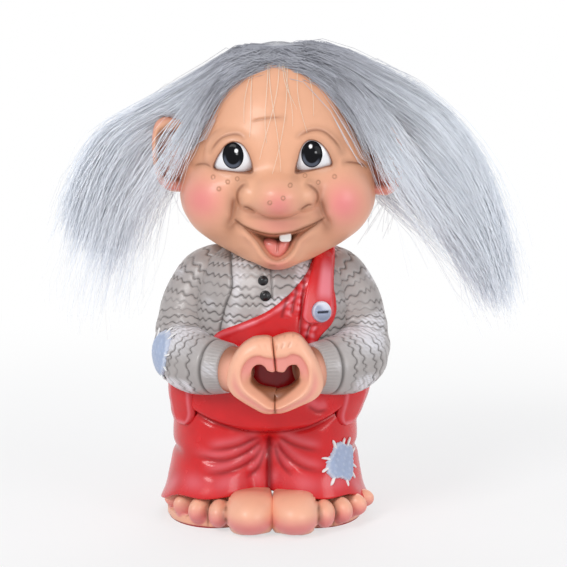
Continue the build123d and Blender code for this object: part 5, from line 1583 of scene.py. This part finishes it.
def fur_lock(guides, count, seed, start, stop, thickness, bulge=0.0, strays=0.07, facing=None, tuck=True):
    """A bundle of strands between four guide curves. A strand's place is the mean of the curves, weighted by
    its share down (q) and its share back (w). Both shares drift towards its tuft's as the strand runs on. A
    slow wave and, near the tip, a chance spread are added, and its root dives to the scalp. Tucked locks
    keep behind the ears. Each strand's flat side is turned to facing, or else away from the head."""
    chance = np.random.default_rng(seed)
    curves = np.stack([curve_through(guide, GUIDE_STEPS) for guide in guides])
    q, w = chance.random(count), chance.random(count) ** 1.25
    stray = chance.random(count) < strays
    q = np.where(stray, -0.10 + 1.45 * q, q)
    tufts = np.stack([chance.random(TUFTS), chance.random(TUFTS)], -1)
    tuft = ((q[:, None] - tufts[:, 0]) ** 2 + 0.6 * (w[:, None] - tufts[:, 1]) ** 2).argmin(1)
    begin = start[0] + (start[1] - start[0]) * chance.random(count) ** 1.6
    finish = stop[0] + (stop[1] - stop[0]) * chance.random(count) ** 1.1
    finish = finish * (0.93 + 0.07 * chance.random(TUFTS)[tuft])
    share = np.linspace(0, 1, 9)[None, :]
    t = begin[:, None] + (finish - begin)[:, None] * share
    gather = np.where(stray, 0.15, 0.80)[:, None] * rise(t, 0.20, 1.0)
    down = (q[:, None] + (tufts[tuft, 0] - q)[:, None] * gather)[..., None]
    back = (w[:, None] + (tufts[tuft, 1] - w)[:, None] * gather)[..., None]
    place = np.clip(t, 0, 1) * (GUIDE_STEPS - 1)
    low = np.minimum(place.astype(int), GUIDE_STEPS - 2)
    between = (place - low)[..., None]
    edges = [curve[low] * (1 - between) + curve[low + 1] * between for curve in curves]
    ahead, behind = ((1 - down) * upper + down * lower for upper, lower in (edges[:2], edges[2:]))
    middles = (1 - back) * ahead + back * behind
    middles[..., 1] += (bulge * 4 * down * (1 - down))[..., 0]
    swing = 0.22 + 1.5 * t**2 * np.where(stray, 2.4, 1.0)[:, None]
    for axis in range(3):
        rate, phase = 0.8 + 1.5 * chance.random(count)[:, None], chance.random(count)[:, None] * WAVE
        middles[..., axis] += swing * np.sin(rate * t * WAVE + phase) * (0.5 if axis == 1 else 0.8)
    spread = chance.normal(size=(count, 3)) * np.where(stray, 4.0, 2.1)[:, None] * (1.0, 0.7, 1.0)
    middles += spread[:, None] * (t**2.2)[..., None]
    inner = np.array((HEAD_X, 2.0, 0.0)) + (0, 0, 1) * np.clip(middles[..., 2:], 92, 126)
    outward = middles - inner
    outward /= np.linalg.norm(outward, axis=-1, keepdims=True)
    height = head_oval(middles)
    sunk = np.where(share < 0.01, height - 0.5, np.minimum(height - 1.4, 0) * (height < 1.4))
    middles = middles - outward * np.where(np.abs(height) < 25, sunk, 0)[..., None]
    if tuck:
        x, y, z = np.moveaxis(middles, -1, 0)
        out = np.abs(x - HEAD_X)
        by_ear = rise(out, 27.3, 30.0) * rise(out, 43.0, 40.0) * rise(z, 99.0, 104.0) * rise(z, 129.0, 124.5)
        middles[..., 1] = np.where(y < EAR_BACK, y + (EAR_BACK - y) * by_ear, y)
    radii = thickness * np.where(stray, 0.72, 1.0)[:, None] * (1.05 - 0.5 * share**1.5)
    radii = radii * (0.8 + 0.4 * chance.random(count)[:, None])
    flat = outward if facing is None else np.array(facing, float) / np.linalg.norm(facing) + 0 * outward
    flat = flat + chance.normal(0, 0.22, (count, 1, 3))
    points, quads, ends = thin_tubes(middles, radii, flat / np.linalg.norm(flat, axis=-1, keepdims=True))
    tone = np.clip(chance.normal(0.06, 0.22, TUFTS)[tuft] + chance.normal(0, 0.14, count), 0, 0.8)
    pale = np.clip(chance.normal(0, 0.12, count)[:, None] + rise(t, 0.08, 0.55), 0, 1)
    # A darker tone at random per tuft, and painted shade at the roots.
    deep = tone[:, None] * (1 - 0.85 * rise(t, 0.25, 0.7)) + 0.30 * rise(0.26 - t, 0, 0.22)
    return points, quads, ends, np.repeat(pale, 3), np.repeat(deep, 3)


def comb_out(name, nodes, *lock, **options):
    """Makes a piece of a lock of fur, which may stand for packed locks. The rest is passed on to fur_lock."""
    points, quads, ends, tip, dark = fur_lock(*lock, **options)
    piece = add_piece(name, points, quads, ends, tip=tip, dark=dark)
    piece.data.shade_flat()
    fit(piece, fur_paint, "hair", *nodes)


STRANDS = 3700
# Each lock has guides, a seed, the shares of its guides where strands start and stop, a thickness, the bulge
# of its middle, the way that its flat sides face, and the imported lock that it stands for.
LOCKS = (
    ("fur_left_front", "left", 11, (0.0, 0.46), (0.52, 1.0), 0.105, 0.0, (-0.35, -1.0, 0.5), "hair_left"),
    ("fur_left_back", "left", 12, (0.0, 0.40), (0.60, 1.0), 0.11, 0.0, (-0.35, 0.6, 1.0), "hair_left"),
    ("fur_right_front", "right", 13, (0.0, 0.44), (0.52, 1.0), 0.105, 0.0, (0.35, -1.0, 0.5), "hair_right"),
    ("fur_right_back", "right", 14, (0.0, 0.40), (0.60, 1.0), 0.11, 0.0, (0.35, 0.6, 1.0), "hair_right"),
    ("fur_back", "back", 15, (0.0, 0.62), (0.72, 1.0), 0.13, 4.5, None, "hair_back"),
)
for name, guides, seed, start, stop, thickness, bulge, facing, node in LOCKS:
    comb_out(name, [node], FUR_GUIDES[guides], STRANDS, seed, start, stop, thickness, bulge, facing=facing)


# Loose strands: thin wisps that fall over both ears, some long fly-away hairs below the locks, and a few
# blond hairs that hang over the forehead.
WISP_GUIDES = {
    "left": (
        (
            (-13, -13, 145), (-20, -17, 136), (-26, -15, 127), (-31, -10, 119), (-37, -8, 110), (-44, -5, 99),
            (-50, -2, 86),
        ),
        (
            (-13, -15, 141), (-19.5, -18.5, 131), (-23.5, -18, 122), (-27, -14, 114), (-31, -9.5, 105),
            (-37, -5, 93), (-42, -2, 78),
        ),
        (
            (-13, -10, 146), (-22, -13, 138), (-30, -9.5, 129), (-36, -7.5, 121), (-42, -6, 112),
            (-49, -3, 101), (-56, 0, 88),
        ),
        (
            (-13, -14, 142), (-20, -17, 133), (-25, -16, 124), (-29.5, -12, 116), (-34, -9, 107),
            (-40, -6, 96), (-46, -2, 82),
        ),
    ),
    "right": (
        (
            (16, -13, 145), (26, -16, 136), (33, -13, 127), (38, -9, 118), (44, -8, 108), (52, -5, 97),
            (60, -2, 84),
        ),
        (
            (15, -15, 142), (24, -18, 131), (29, -16.5, 121), (33, -12, 112), (38, -9, 103), (45, -5, 92),
            (52, -2, 76),
        ),
        (
            (17, -10, 147), (29, -13, 138), (38, -9, 129), (45, -7, 120), (52, -6, 110), (60, -3, 99),
            (68, 0, 84),
        ),
        (
            (15, -14, 143), (25, -17, 133), (31, -15, 124), (36, -10, 115), (42, -8, 105), (49, -6, 94),
            (57, -2, 78),
        ),
    ),
    "left_fly": (
        (
            (-10, 6, 149), (-25, 7, 137), (-40, 7, 118), (-50, 5, 98), (-56, 3, 78), (-60, 2, 62),
            (-62, 1, 52),
        ),
        (
            (-16, -12, 138), (-26, 2, 122), (-34, 6, 110), (-39, 4, 97), (-42, 2, 84), (-44, 1, 73),
            (-46, 0, 64),
        ),
        (
            (-14, 8, 150), (-32, 9, 141), (-51, 9, 126), (-64, 7, 108), (-71, 5, 92), (-74, 4, 78),
            (-75, 3, 66),
        ),
        (
            (-14, 12, 140), (-26, 12, 126), (-36, 11, 112), (-42, 8, 97), (-46, 6, 83), (-50, 5, 70),
            (-53, 4, 59),
        ),
    ),
    "right_fly": (
        ((14, 6, 150), (32, 7, 138), (50, 7, 120), (62, 5, 102), (70, 3, 84), (75, 2, 66), (78, 1, 50)),
        ((20, -12, 136), (29, 2, 118), (37, 6, 106), (50, 5, 100), (62, 4, 92), (72, 3, 82), (80, 2, 70)),
        ((16, 8, 151), (38, 9, 142), (58, 9, 128), (72, 7, 112), (80, 5, 96), (84, 4, 80), (85, 3, 62)),
        ((18, 12, 140), (30, 12, 124), (40, 11, 110), (50, 8, 98), (58, 6, 84), (64, 5, 70), (68, 4, 56)),
    ),
}
WISPS = (
    ("fur_left_wisps", "left", 170, 21, (0.0, 0.30), (0.45, 1.0), 0.075),
    ("fur_right_wisps", "right", 480, 22, (0.0, 0.30), (0.40, 1.0), 0.075),
    ("fur_left_fly_away", "left_fly", 420, 23, (0.10, 0.45), (0.60, 1.0), 0.055),
    ("fur_right_fly_away", "right_fly", 460, 24, (0.10, 0.45), (0.60, 1.0), 0.055),
)
for name, guides, count, seed, start, stop, thickness in WISPS:
    comb_out(name, [], WISP_GUIDES[guides], count, seed, start, stop, thickness, strays=0.25,
             facing=(0, -1, 0.5), tuck="fly" in guides)

# Each forelock has the x of its root, the height of its tip, and how far its tip drifts sideways.
FORELOCKS = (
    (-8.5, 118.0, -3.5), (-5.0, 121.0, 1.5), (-2.0, 112.5, 2.0), (0.5, 116.0, -4.5), (4.5, 126.0, 1.0),
    (5.5, 110.5, -5.5), (9.0, 124.0, 2.5), (3.0, 131.0, 3.5), (12.0, 129.0, 3.0), (-10.5, 127.0, -2.0),
)
FORELOCK_ROOT_Z = 146.5
BLOND = (0.93, 0.84, 0.70)
blond_paint = painted("blond_fibre", BLOND, roughness=0.40, mottle=0.05, mottle_scale=200, grain=0.0,
                      sheen=0.2)
t = np.linspace(0, 1, 26)[None, :]
first, low, drift = (column[:, None] for column in np.array(FORELOCKS).T)
x = first * 0.72 + 1.5 + drift * t**1.3 + 0.9 * np.sin(4.0 * t + first)
z = FORELOCK_ROOT_Z + (low - FORELOCK_ROOT_Z) * t
wide, deep, back = head_level(z)
wide, deep = HEAD_HALF_WIDTH * np.sqrt(wide), HEAD_HALF_DEPTH * np.sqrt(deep)
y = back - deep * np.sqrt(np.clip(1 - ((x - HEAD_X) / wide) ** 2, 0.02, 1)) - 0.4
y = y - 3.4 * rise(z, 122.0, 108.0) - 0.5 * np.sin(math.pi * t)
y = np.where(t < 0.02, y + 2.5, y)
middles = np.stack([x, y, z], -1)
radii = 0.075 * (1.1 - 0.6 * t) + 0 * x
facing = np.array((0.05, -1.0, 0.2)) + 0 * middles
forelocks = add_piece("blond_forelocks", *thin_tubes(middles, radii, facing))
fit(forelocks, blond_paint, "hair")
